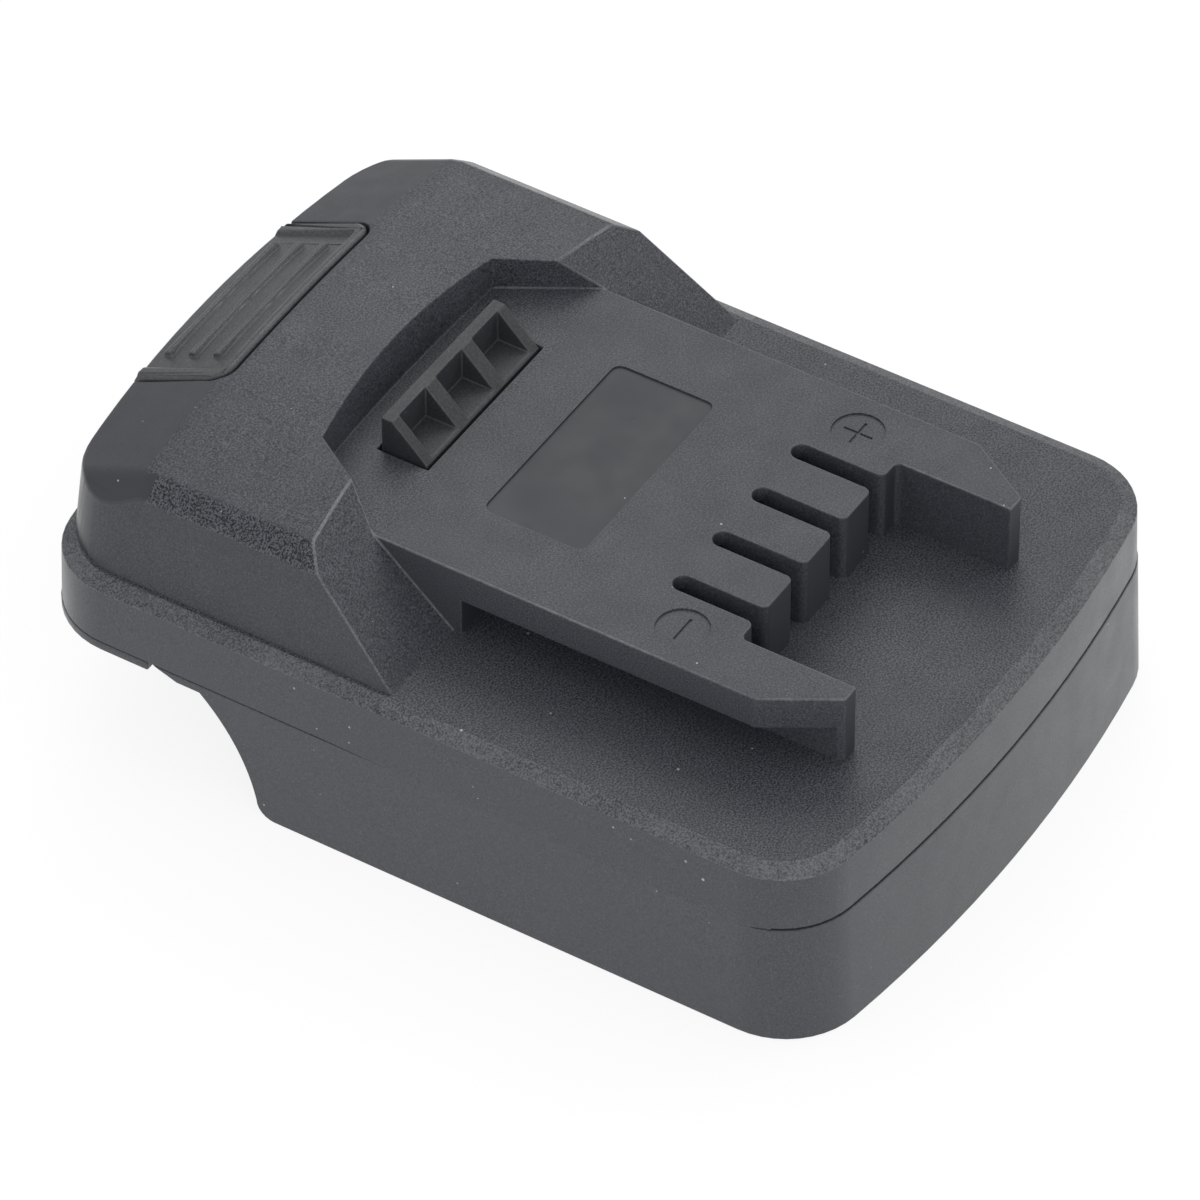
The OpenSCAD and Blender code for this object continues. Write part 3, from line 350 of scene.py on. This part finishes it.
# Heights of the seam, deck and platform, and the closeness at which two heights are the same
rim_h, rim_chamfer_h, platform_h = 0.0078, 0.0009, 0.0095
seam_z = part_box("upper_shell")[0].z
deck_z = seam_z + rim_h + rim_chamfer_h
platform_z = deck_z + platform_h
same = 0.00005
# Heights that part the rim's foot, side and polish from its chamfer, and deck from upper edges
rim_foot_z, rim_side_z, rim_polish_z = seam_z + 0.0006, deck_z - 0.0012, deck_z - 0.0010
deck_edge_z, upper_edge_z = deck_z + 0.0004, deck_z + 0.0006
hood_rear_low_z, hood_rear_high_z = 0.0290, 0.0372

# The seam is open in front of the first place and behind the second, and closed between
seam_front_y, seam_rear_y = -0.0470, 0.0145
front_cut_y = seam_front_y + 0.0005
# Places along the platform and the hood, from the front, and the hood's shoulders
arm_front_y, arm_slant_y, slots_y = -0.0440, -0.0354, -0.0255
undercut_rear_y, hood_front_y, platform_rear_y, hood_top_y = 0.0035, 0.0040, 0.0160, 0.0200
crest_front_y, chamfer_end_y, crest_rear_y = 0.0215, 0.0395, 0.0410
lip_edge_x, platform_side_x, beside_platform_x = 0.0243, 0.0250, 0.0262
hood_corner_x, hood_shoulder_x = 0.0200, 0.0300

split_faces(upper, xs=(0.0, -beside_platform_x, beside_platform_x),
            ys=(front_cut_y, arm_front_y, slots_y, undercut_rear_y, seam_rear_y))

# Along the two long sides the rim lies flush on the skirt, so that the seam hardly shows there
seam_ledge = 0.0001
flush_x, flush_front_y, flush_rear_y = 0.0360, -0.0445, 0.0040
for point in upper.data.vertices:
    beside = abs(point.co.x) > flush_x and flush_front_y < point.co.y < flush_rear_y
    if beside and abs(point.co.z - seam_z) < same:
        point.co.x += math.copysign(seam_ledge, point.co.x)


def front_seam(middle, run, hollow):
    """The rim's bottom edge around the front."""
    return middle.z < seam_z + 2 * same and middle.y < seam_front_y


def rear_seam(middle, run, hollow):
    """The rim's bottom edge around the rear."""
    return middle.z < seam_z + 2 * same and middle.y > seam_rear_y


def hood_rear_edge(middle, run, hollow):
    """The edges of the hood's rear slope."""
    return middle.y > crest_rear_y and hood_rear_low_z < middle.z < hood_rear_high_z


def other_edge(middle, run, hollow):
    """The edges above the rim's foot, without the hood's rear ones and the hollows on the deck."""
    on_deck = hollow and middle.z < deck_edge_z
    return middle.z > rim_foot_z and not on_deck and not hood_rear_edge(middle, run, hollow)


for radius, wanted in ((0.0004, front_seam), (0.00008, rear_seam), (0.0003, hood_rear_edge),
                       (0.0002, other_edge)):
    round_edges(upper, radius, wanted)


def cut_away(piece, cutter):
    """Takes the cutter's shape out of the piece."""
    bpy.ops.object.select_all(action="DESELECT")
    piece.select_set(True)
    bpy.context.view_layer.objects.active = piece
    cut = piece.modifiers.new("cut", "BOOLEAN")
    cut.operation = "DIFFERENCE"
    cut.solver = "EXACT"
    cut.object = cutter
    bpy.ops.object.modifier_apply(modifier=cut.name)
    bpy.data.objects.remove(cutter)


def block(name, low, high, corner=0.0):
    """A box between two corners, its upright edges rounded."""
    bpy.ops.object.select_all(action="DESELECT")
    bpy.ops.mesh.primitive_cube_add(size=1.0)
    piece = bpy.context.active_object
    piece.name = name
    for point in piece.data.vertices:
        point.co = Vector(tuple(high[i] if point.co[i] > 0 else low[i] for i in range(3)))
    if corner:
        bpy.ops.object.mode_set(mode="EDIT")
        bpy.ops.mesh.select_mode(type="EDGE")
        bpy.ops.mesh.select_all(action="DESELECT")
        bpy.ops.object.mode_set(mode="OBJECT")
        for edge in piece.data.edges:
            a, b = (piece.data.vertices[i].co for i in edge.vertices)
            edge.select = abs(a.z - b.z) > 1e-6
        bpy.ops.object.mode_set(mode="EDIT")
        bpy.ops.mesh.bevel(offset=corner, segments=4, profile=0.5)
        bpy.ops.object.mode_set(mode="OBJECT")
    return piece


def disc(name, x, y, low, high, radius):
    """An upright round cutter."""
    bpy.ops.object.select_all(action="DESELECT")
    bpy.ops.mesh.primitive_cylinder_add(vertices=48, radius=radius, depth=high - low)
    piece = bpy.context.active_object
    piece.name = name
    for point in piece.data.vertices:
        point.co += Vector((x, y, (low + high) / 2))
    return piece


sunk = 0.00022
sunk_z, over_z = platform_z - sunk, platform_z + 0.0008
label_x, label_front_y, label_rear_y, label_corner = 0.0145, -0.0063, 0.0072, 0.0012
cut_away(upper, block("label_place", (-label_x, label_front_y, sunk_z),
                      (label_x, label_rear_y, over_z), label_corner))

mark_x, mark_y, mark_r = 0.0192, -0.0225, 0.0032
bar_reach, bar_half_w, bar_depth = 0.0019, 0.00017, 0.0002


def cut_bar(x, reach_x, reach_y):
    """Sinks one bar of a polarity sign into its disc."""
    cut_away(upper, block("polarity_bar", (x - reach_x, mark_y - reach_y, sunk_z - bar_depth),
                          (x + reach_x, mark_y + reach_y, platform_z)))


for x, positive in ((-mark_x, False), (mark_x, True)):
    cut_away(upper, disc("polarity_disc", x, mark_y, sunk_z, over_z, mark_r))
    cut_bar(x, bar_reach, bar_half_w)
    if positive:
        cut_bar(x, bar_half_w, bar_reach)


def beside_hood(centre, normal):
    """Whether a face is one of the sloped ones along the hood's sides."""
    behind = centre.y > hood_front_y and abs(centre.x) > hood_shoulder_x
    return behind and 0.35 < abs(normal.x) < 0.9


def upper_face(centre, normal):
    """Which part of the upper shell a face belongs to, by its place and the way it faces."""
    x, y, z = centre
    if z < rim_side_z:
        return "rim_side"
    if z < deck_z - same and 0.2 < normal.z < 0.99:
        return "rim_chamfer"
    if normal.y < -0.9 and deck_z < z < platform_z and abs(x) < platform_side_x:
        return "finger_front"
    on_label = abs(x) < label_x and label_front_y < y < label_rear_y
    if normal.z > 0.99 and abs(z - sunk_z) < same and on_label:
        return "label_place"
    if normal.z > 0.9 and z < deck_edge_z:
        return "deck"
    if beside_hood(centre, normal):
        return "hood_chamfer" if y < chamfer_end_y else "hood_rear_corner"
    if y > hood_front_y and abs(normal.x) >= 0.9:
        return "hood_side"
    if y > hood_front_y and normal.y < -0.4:
        return "hood_front"
    if y > crest_rear_y and normal.y > 0.3:
        return "hood_rear"
    if y > hood_top_y and normal.z > 0.85:
        return "hood_top"
    return "platform"


# Grain depth for each kind of face. A low depth also paints the face darker: on the finger fronts,
# the label place and the hood's rear slope and rear corners this is painted shade.
upper_grain_and_shade = {
    "rim_side": 0.13,
    "rim_chamfer": 0.75,
    "finger_front": 0.0,
    "label_place": 0.0,
    "deck": 0.42,
    "hood_chamfer": 1.0,
    "hood_rear_corner": 0.0,
    "hood_side": 0.12,
    "hood_front": 0.3,
    "hood_rear": 0.05,
    "hood_top": 0.3,
    "platform": 0.18,
}
# How much lighter faces are painted: the rim's chamfer as a painted highlight, the edge strips as
# rubbing and painted highlight
chamfer_highlight, hood_corner_wear_and_highlight, lip_wear_and_highlight, platform_wear, edge_wear = 0.38, 0.7, 0.55, 0.25, 0.1


def upper_grain(centre, normal):
    """How deep the grain is on a face of the upper shell, from 0 to 1; a low depth also paints the
    face darker as painted shade.
    """
    return upper_grain_and_shade[upper_face(centre, normal)]


def upper_wear_and_highlight(centre, normal, strip):
    """How much lighter a face is painted, as rubbing by handling and as painted highlight: the whole
    rim chamfer is a painted highlight, and the strips on the hood's front corners and the rail lips
    get the most.
    """
    x, y, z = centre
    if upper_face(centre, normal) == "rim_chamfer":
        return chamfer_highlight
    if not strip or z < upper_edge_z:
        return 0.0
    if hood_front_y < y < crest_front_y and abs(x) > hood_corner_x:
        return hood_corner_wear_and_highlight
    if abs(z - platform_z) < 8 * same and y < platform_rear_y:
        return lip_wear_and_highlight if abs(x) > lip_edge_x or y < arm_slant_y else platform_wear
    return edge_wear


def upper_polish(centre, normal):
    """Where the tool was left smoother: the rim's sides and the slopes along the hood's sides."""
    return float(centre.z < rim_polish_z or beside_hood(centre, normal))


finish_faces(upper, upper_grain, upper_wear_and_highlight, upper_polish)
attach(upper, "case")
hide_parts("upper_shell")


# Lower shell
# The skirt around the battery bay with its rails, moulded in the same plastic as the upper shell.
# It meets that one in a butt seam that opens to a dark line along the front.

lower = loose_copy("case_skirt", "lower_shell", shell_plastic)
split_faces(lower, xs=(0.0,), ys=(front_cut_y, seam_rear_y))
skirt_top_z = seam_z - 0.0003


def skirt_edge(middle, run, hollow):
    """The edges under the seam, and the seam's own where it is open."""
    return middle.z < skirt_top_z or not seam_front_y < middle.y < seam_rear_y


round_edges(lower, 0.0002, skirt_edge, looks=(0, -25, -50, -75))
finish_faces(lower, lambda centre, normal: 0.12, lambda centre, normal, strip: 0.0,
             lambda centre, normal: 1.0)
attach(lower, "case")
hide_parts("lower_shell")


# Case, holder, board and block screws
# The screws are zinc-plated steel with pan heads and cross recesses. Four hold the two shells
# together from below; the others hold the terminal holder, the board and the battery terminal block.

def plated_metal(name, colour, tarnish, roughness, streak=(1.0, 1.0, 1.0), scale=900.0):
    """A plated metal: fine drawing streaks, patches of tarnish, slightly uneven gloss."""
    material, tree, shader = new_material(name)
    shader.inputs["Metallic"].default_value = 1.0
    place = object_place(tree)
    stretch = tree.nodes.new("ShaderNodeMapping")
    stretch.inputs["Scale"].default_value = streak
    tree.links.new(place, stretch.inputs["Vector"])
    fine = noise(tree, stretch.outputs["Vector"], scale, detail=3.0, rough=0.6)
    patches = spread(tree, noise(tree, place, scale=160.0, detail=3.0), 0.45, 0.75)
    edges = placed(tree, rub_and_highlight_group, Amount=0.5)
    tarnished = blend(tree, patches, colour, tarnish)
    bright = blend(tree, edges.outputs["Mask"], tarnished, shade(colour, 1.4))
    tree.links.new(bright, shader.inputs["Base Color"])
    gloss = spread(tree, fine, 0.3, 0.7, roughness - 0.08, roughness + 0.12)
    tree.links.new(gloss, shader.inputs["Roughness"])
    add_bump(tree, shader, fine, 6e-6)
    return material


def dressed(name, node, material, radius, body="case"):
    """A CAD node's copy with its edges rounded and a finish, standing in for the node."""
    piece = loose_copy(name, node, material)
    round_edges(piece, radius, lambda middle, run, hollow: True, looks=(0, 45, -45))
    finish_faces(piece, lambda centre, normal: 0.2)
    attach(piece, body)
    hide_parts(node)


zinc_steel = plated_metal("zinc_plated_steel", colour=(0.42, 0.43, 0.44), tarnish=(0.3, 0.3, 0.29),
                          roughness=0.34)
for name, node in (("shell_fixings", "case_screws"), ("holder_fixings", "holder_screws"),
                   ("board_fixings", "board_screws"), ("block_fixings", "block_screws")):
    dressed(name, node, zinc_steel, 0.00012)


# Terminal holder and tool clips
# The holder is a black moulded insulator behind the four slots. In each of its cells sits a folded
# spring clip of nickel-plated brass, which grips one blade of the tool; its tail goes to the board.

insulator = moulded_plastic(
    "black_insulator", colour=(0.028, 0.028, 0.03), rub_and_highlight_colour=(0.08, 0.08, 0.082),
    roughness=0.42, grain_depth=2e-5, rub_and_highlight=0.5, dust=0.03)
dressed("slot_insulator", "terminal_holder", insulator, 0.00018)
nickel_brass = plated_metal("nickel_plated_brass", colour=(0.66, 0.62, 0.53),
                            tarnish=(0.5, 0.43, 0.3), roughness=0.28, streak=(1.0, 0.08, 1.0))
for end in ("positive", "negative", "data", "sense"):
    dressed("blade_grip_" + end, "tool_clip_" + end, nickel_brass, 0.0001)


# Circuit board and its components
# The board is glass-epoxy laminate under green solder mask, with copper runs showing through it.
# Two power transistors, a control chip and a capacitor are soldered on it.

def solder_mask(name):
    """Green solder mask over a net of copper runs, glossy, with the weave showing faintly."""
    weave_green = (0.03, 0.16, 0.08)
    material, tree, shader = new_material(name)
    place = object_place(tree)
    runs = tree.nodes.new("ShaderNodeTexBrick")
    runs.inputs["Scale"].default_value = 260.0
    runs.inputs["Mortar Size"].default_value = 0.035
    runs.inputs["Color1"].default_value = (0.012, 0.10, 0.045, 1.0)
    runs.inputs["Color2"].default_value = (0.014, 0.12, 0.055, 1.0)
    runs.inputs["Mortar"].default_value = (0.03, 0.20, 0.09, 1.0)
    tree.links.new(place, runs.inputs["Vector"])
    weave = noise(tree, place, scale=1400.0, detail=2.0)
    woven = spread(tree, weave, 0.4, 0.7, 0.0, 0.25)
    green = blend(tree, woven, runs.outputs["Color"], weave_green)
    tree.links.new(green, shader.inputs["Base Color"])
    tree.links.new(spread(tree, weave, 0.3, 0.7, 0.22, 0.34), shader.inputs["Roughness"])
    add_bump(tree, shader, runs.outputs["Fac"], 2e-5)
    return material


dressed("green_board", "circuit_board", solder_mask("green_solder_mask"), 0.0001)
epoxy = moulded_plastic(
    "moulded_epoxy", colour=(0.018, 0.018, 0.02), rub_and_highlight_colour=(0.06, 0.06, 0.06),
    roughness=0.5, grain_depth=1.5e-5, rub_and_highlight=0.4, dust=0.01)
dressed("switching_transistors", "power_transistors", epoxy, 0.00012)
dressed("logic_chip", "control_chip", epoxy, 0.00008)
drawn_can = plated_metal("drawn_aluminium", colour=(0.62, 0.62, 0.64), tarnish=(0.5, 0.5, 0.52),
                         roughness=0.3, streak=(1.0, 1.0, 0.1))
dressed("smoothing_capacitor", "board_capacitor", drawn_can, 0.00015)


# Battery terminal block and blades
# The block is a black moulded insulator screwed to the roof of the bay. Three stamped blades stand
# out of it, two wide ones for power and a short one for the signal, and the battery slides onto them.

dressed("bay_insulator", "battery_terminal_block", insulator, 0.00025)
for end in ("positive", "negative", "signal"):
    dressed("bay_blade_" + end, "battery_blade_" + end, nickel_brass, 0.00012)


# Leads
# Three short leads in soft extruded insulation run from the blades' tails to the board. The red and
# black ones carry the supply, the thin white one the signal, and all are soldered at both ends.

def lead_cover(name, colour):
    """Extruded soft insulation: a dull gloss, faint draw marks and a little dirt."""
    material, tree, shader = new_material(name)
    smears = noise(tree, object_place(tree), scale=220.0, detail=3.0)
    dirt = spread(tree, smears, 0.4, 0.75, 0.0, 0.5)
    tree.links.new(blend(tree, dirt, colour, shade(colour, 0.7)), shader.inputs["Base Color"])
    tree.links.new(spread(tree, smears, 0.3, 0.7, 0.38, 0.5), shader.inputs["Roughness"])
    return material


for tint, node, colour in (
    ("red", "positive_wire", (0.45, 0.02, 0.02)),
    ("black", "negative_wire", (0.02, 0.02, 0.02)),
    ("white", "signal_wire", (0.7, 0.7, 0.66)),
):
    lead = loose_copy(tint + "_lead", node, lead_cover(tint + "_lead_cover", colour))
    smoother = lead.modifiers.new("smoother", "SUBSURF")
    smoother.levels = smoother.render_levels = 2
    bpy.ops.object.modifier_apply(modifier=smoother.name)
    bpy.ops.object.shade_smooth_by_angle(angle=math.radians(50))
    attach(lead, "case")
    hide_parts(node)


# Latch springs
# Two coil springs of drawn steel wire stand under the latch plate and push it up.

spring_low, spring_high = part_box("latch_springs")
spring_h = spring_high.z - spring_low.z
wire_r, coil_r, coil_turns = 0.0004, 0.0029, 5
wire_sides, steps_per_turn = 12, 24
spring_x = spring_high.x - coil_r - wire_r
spring_y = (spring_low.y + spring_high.y) / 2
spring_steel = plated_metal("drawn_spring_steel", colour=(0.5, 0.51, 0.52),
                            tarnish=(0.36, 0.36, 0.36), roughness=0.26, scale=1500.0)
coils = []
for side in (-1, 1):
    bpy.ops.object.select_all(action="DESELECT")
    bpy.ops.mesh.primitive_circle_add(vertices=wire_sides, radius=wire_r, fill_type="NOTHING",
                                      rotation=(math.pi / 2, 0, 0), location=(coil_r, 0, 0))
    coil = bpy.context.active_object
    bpy.ops.object.transform_apply(location=True, rotation=True, scale=True)
    wind = coil.modifiers.new("wind", "SCREW")
    wind.angle = 2 * math.pi * coil_turns
    wind.screw_offset = spring_h - 2 * wire_r
    wind.steps = wind.render_steps = steps_per_turn * coil_turns
    wind.use_smooth_shade = True
    bpy.ops.object.modifier_apply(modifier=wind.name)
    bpy.ops.object.mode_set(mode="EDIT")
    bpy.ops.mesh.select_mode(type="EDGE")
    bpy.ops.mesh.select_all(action="SELECT")
    bpy.ops.mesh.normals_make_consistent(inside=False)
    bpy.ops.mesh.select_all(action="DESELECT")
    bpy.ops.mesh.select_non_manifold()
    bpy.ops.mesh.fill()
    bpy.ops.object.mode_set(mode="OBJECT")
    for point in coil.data.vertices:
        point.co += Vector((side * spring_x, spring_y, spring_low.z + wire_r))
    coils.append(coil)
bpy.ops.object.select_all(action="DESELECT")
for coil in coils:
    coil.select_set(True)
bpy.context.view_layer.objects.active = coils[0]
bpy.ops.object.join()
springs = bpy.context.active_object
springs.name = "return_coils"
springs.data.materials.append(spring_steel)
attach(springs, "case")
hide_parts("latch_springs")
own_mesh(springs)


# Latch block
# The three-pocket catch that rises through the platform, moulded in one with the plate under it
# that carries the button. Its plastic is a little darker than the case.

latch_plastic = moulded_plastic(
    "latch_moulding", colour=(0.034, 0.0355, 0.0415), rub_and_highlight_colour=(0.15, 0.152, 0.158),
    roughness=0.5, grain_depth=4e-5, dust=0.3)
latch = loose_copy("latch_catch", "latch_slider", latch_plastic)
ridge_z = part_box("latch_slider")[1].z - 0.0005
catch_z, catch_foot_z = platform_z + 0.0002, 0.0330
ridge_run, upright_run = 0.0150, 0.0005
in_pockets = (-0.0101, -0.0055, -0.0023, 0.0023, 0.0055, 0.0101)
split_faces(latch, xs=in_pockets)


def ridge_edge(middle, run, hollow):
    """The long edges along the catch's top."""
    return middle.z > ridge_z and abs(run.x) > ridge_run


def catch_edge(middle, run, hollow):
    """The edges above the platform, and the upright ones that go down through it."""
    return middle.z > catch_z or middle.z > catch_foot_z and abs(run.z) > upright_run


round_edges(latch, 0.0003, ridge_edge, steps=3)
round_edges(latch, 0.00018, catch_edge)
finish_faces(latch, lambda centre, normal: 0.16, lambda centre, normal, strip: 0.6 * strip)
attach(latch, "latch")
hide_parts("latch_slider")


# Release button
# A smooth moulding with a raised rim, a sunk pad and three half-round grip ribs. Two posts under it
# are screwed to the latch plate. One half is shaped and then mirrored.

button_plastic = moulded_plastic(
    "button_moulding", colour=(0.0575, 0.0592, 0.0655), rub_and_highlight_colour=(0.15, 0.152, 0.157),
    roughness=0.38, grain_depth=4e-5)
button = loose_copy("thumb_button", "release_button", button_plastic)
bpy.ops.object.mode_set(mode="EDIT")
bpy.ops.mesh.select_all(action="SELECT")
bpy.ops.mesh.bisect(plane_co=(0, 0, 0), plane_no=(1, 0, 0), clear_inner=True, threshold=1e-6)
bpy.ops.object.mode_set(mode="OBJECT")
button_front_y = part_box("release_button")[0].y
button_corner_r = 0.0024
button_corner_x, button_corner_y = 0.0135, button_front_y + button_corner_r
button_side_x, rim_inner_x, pad_side_x = 0.0158, 0.0150, 0.0125
rim_inner_y = button_front_y + 0.0007
button_edge_z, pad_edge_z = 0.0320, 0.0310


def outer_edge(middle, run, hollow):
    """The upper edge around the button's front and sides."""
    x, y = abs(middle.x), middle.y
    if hollow or middle.z < button_edge_z or abs(run.z) > 0.6 * run.length:
        return False
    from_centre = math.hypot(x - button_corner_x, y - button_corner_y)
    in_corner = x > button_corner_x and y < button_corner_y
    at_corner = in_corner and abs(from_centre - button_corner_r) < 0.0002
    return x > button_side_x or y < button_front_y + 2 * same or at_corner


def inner_edge(middle, run, hollow):
    """The upper edges inside the rim, the ribs' edges and the pad's front foot."""
    inside = 2 * same < middle.x < rim_inner_x and middle.y > rim_inner_y
    return inside and middle.z > pad_edge_z and not (hollow and middle.x > pad_side_x)


round_edges(button, 0.0006, outer_edge, steps=4)
round_edges(button, 0.00025, inner_edge)
other_half = button.modifiers.new("other_half", "MIRROR")
other_half.merge_threshold = 1e-6
bpy.ops.object.modifier_apply(modifier=other_half.name)
bpy.ops.object.mode_set(mode="EDIT")
bpy.ops.mesh.select_all(action="SELECT")
bpy.ops.mesh.normals_make_consistent(inside=False)
bpy.ops.object.mode_set(mode="OBJECT")
finish_faces(button, lambda centre, normal: 0.16, lambda centre, normal, strip: 0.5 * strip)
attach(button, "latch")
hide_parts("release_button")
dressed("button_fixings", "button_screws", zinc_steel, 0.0001, body="latch")


# Stage
# A pale floor of white card under the object, four soft boxes of half a metre at one metre from it,
# an even room light, and the camera at the photograph's angle.

def white_card():
    """Matt white card that shows as white to the camera and keeps the object's shadow."""
    material, tree, shader = new_material("white_card")
    tree.nodes.remove(shader)
    card = tree.nodes.new("ShaderNodeBsdfDiffuse")
    card.inputs["Color"].default_value = (0.82, 0.82, 0.82, 1.0)
    seen = tree.nodes.new("ShaderNodeBsdfDiffuse")
    seen.inputs["Color"].default_value = (0.2, 0.2, 0.2, 1.0)
    glow = tree.nodes.new("ShaderNodeEmission")
    glow.inputs["Strength"].default_value = 0.85
    both = tree.nodes.new("ShaderNodeAddShader")
    tree.links.new(seen.outputs[0], both.inputs[0])
    tree.links.new(glow.outputs[0], both.inputs[1])
    path = tree.nodes.new("ShaderNodeLightPath").outputs
    mirrored = maths(tree, "MAXIMUM", path["Is Glossy Ray"], path["Is Transmission Ray"])
    direct = maths(tree, "MAXIMUM", path["Is Camera Ray"], mirrored)
    pick = tree.nodes.new("ShaderNodeMixShader")
    tree.links.new(direct, pick.inputs[0])
    tree.links.new(card.outputs[0], pick.inputs[1])
    tree.links.new(both.outputs[0], pick.inputs[2])
    tree.links.new(pick.outputs[0], tree.nodes["Material Output"].inputs["Surface"])
    return material


floor_z = -0.0001
bpy.ops.object.select_all(action="DESELECT")
bpy.ops.mesh.primitive_plane_add(size=4.0, location=(0, 0, floor_z))
tabletop = bpy.context.active_object
tabletop.name = "tabletop"
tabletop.data.materials.append(white_card())

for name, azimuth, elevation, power in (
    ("top_box", 60, 82, 0.49),
    ("back_right_box", 32, 42, 1.49),
    ("right_box", -30, 35, 0.93),
    ("front_left_box", -140, 30, 1.58),
):
    lamp = bpy.data.lights.new(name, "AREA")
    lamp.shape = "SQUARE"
    lamp.size = 0.5
    lamp.energy = power
    holder = bpy.data.objects.new(name, lamp)
    a, e = math.radians(azimuth), math.radians(elevation)
    holder.location = Vector((math.cos(e) * math.cos(a), math.cos(e) * math.sin(a), math.sin(e)))
    holder.rotation_euler = holder.location.to_track_quat("Z", "Y").to_euler()
    bpy.context.scene.collection.objects.link(holder)

room = bpy.data.worlds.new("studio")
room.use_nodes = True
room_light = room.node_tree.nodes["Background"]
room_light.inputs["Color"].default_value = (1.0, 1.0, 1.0, 1.0)
room_light.inputs["Strength"].default_value = 0.633
bpy.context.scene.world = room

view = bpy.data.cameras.new("view")
view.lens = 291.016
view.sensor_width = 36.0
view.clip_end = 20.0
eye = bpy.data.objects.new("view", view)
eye.location = (-0.691688, -0.432921, 0.787837)
eye.rotation_euler = tuple(math.radians(d) for d in (46.47232, 0.0918, -58.01638))
bpy.context.scene.collection.objects.link(eye)
bpy.context.scene.camera = eye
bpy.context.scene.view_settings.view_transform = "Standard"
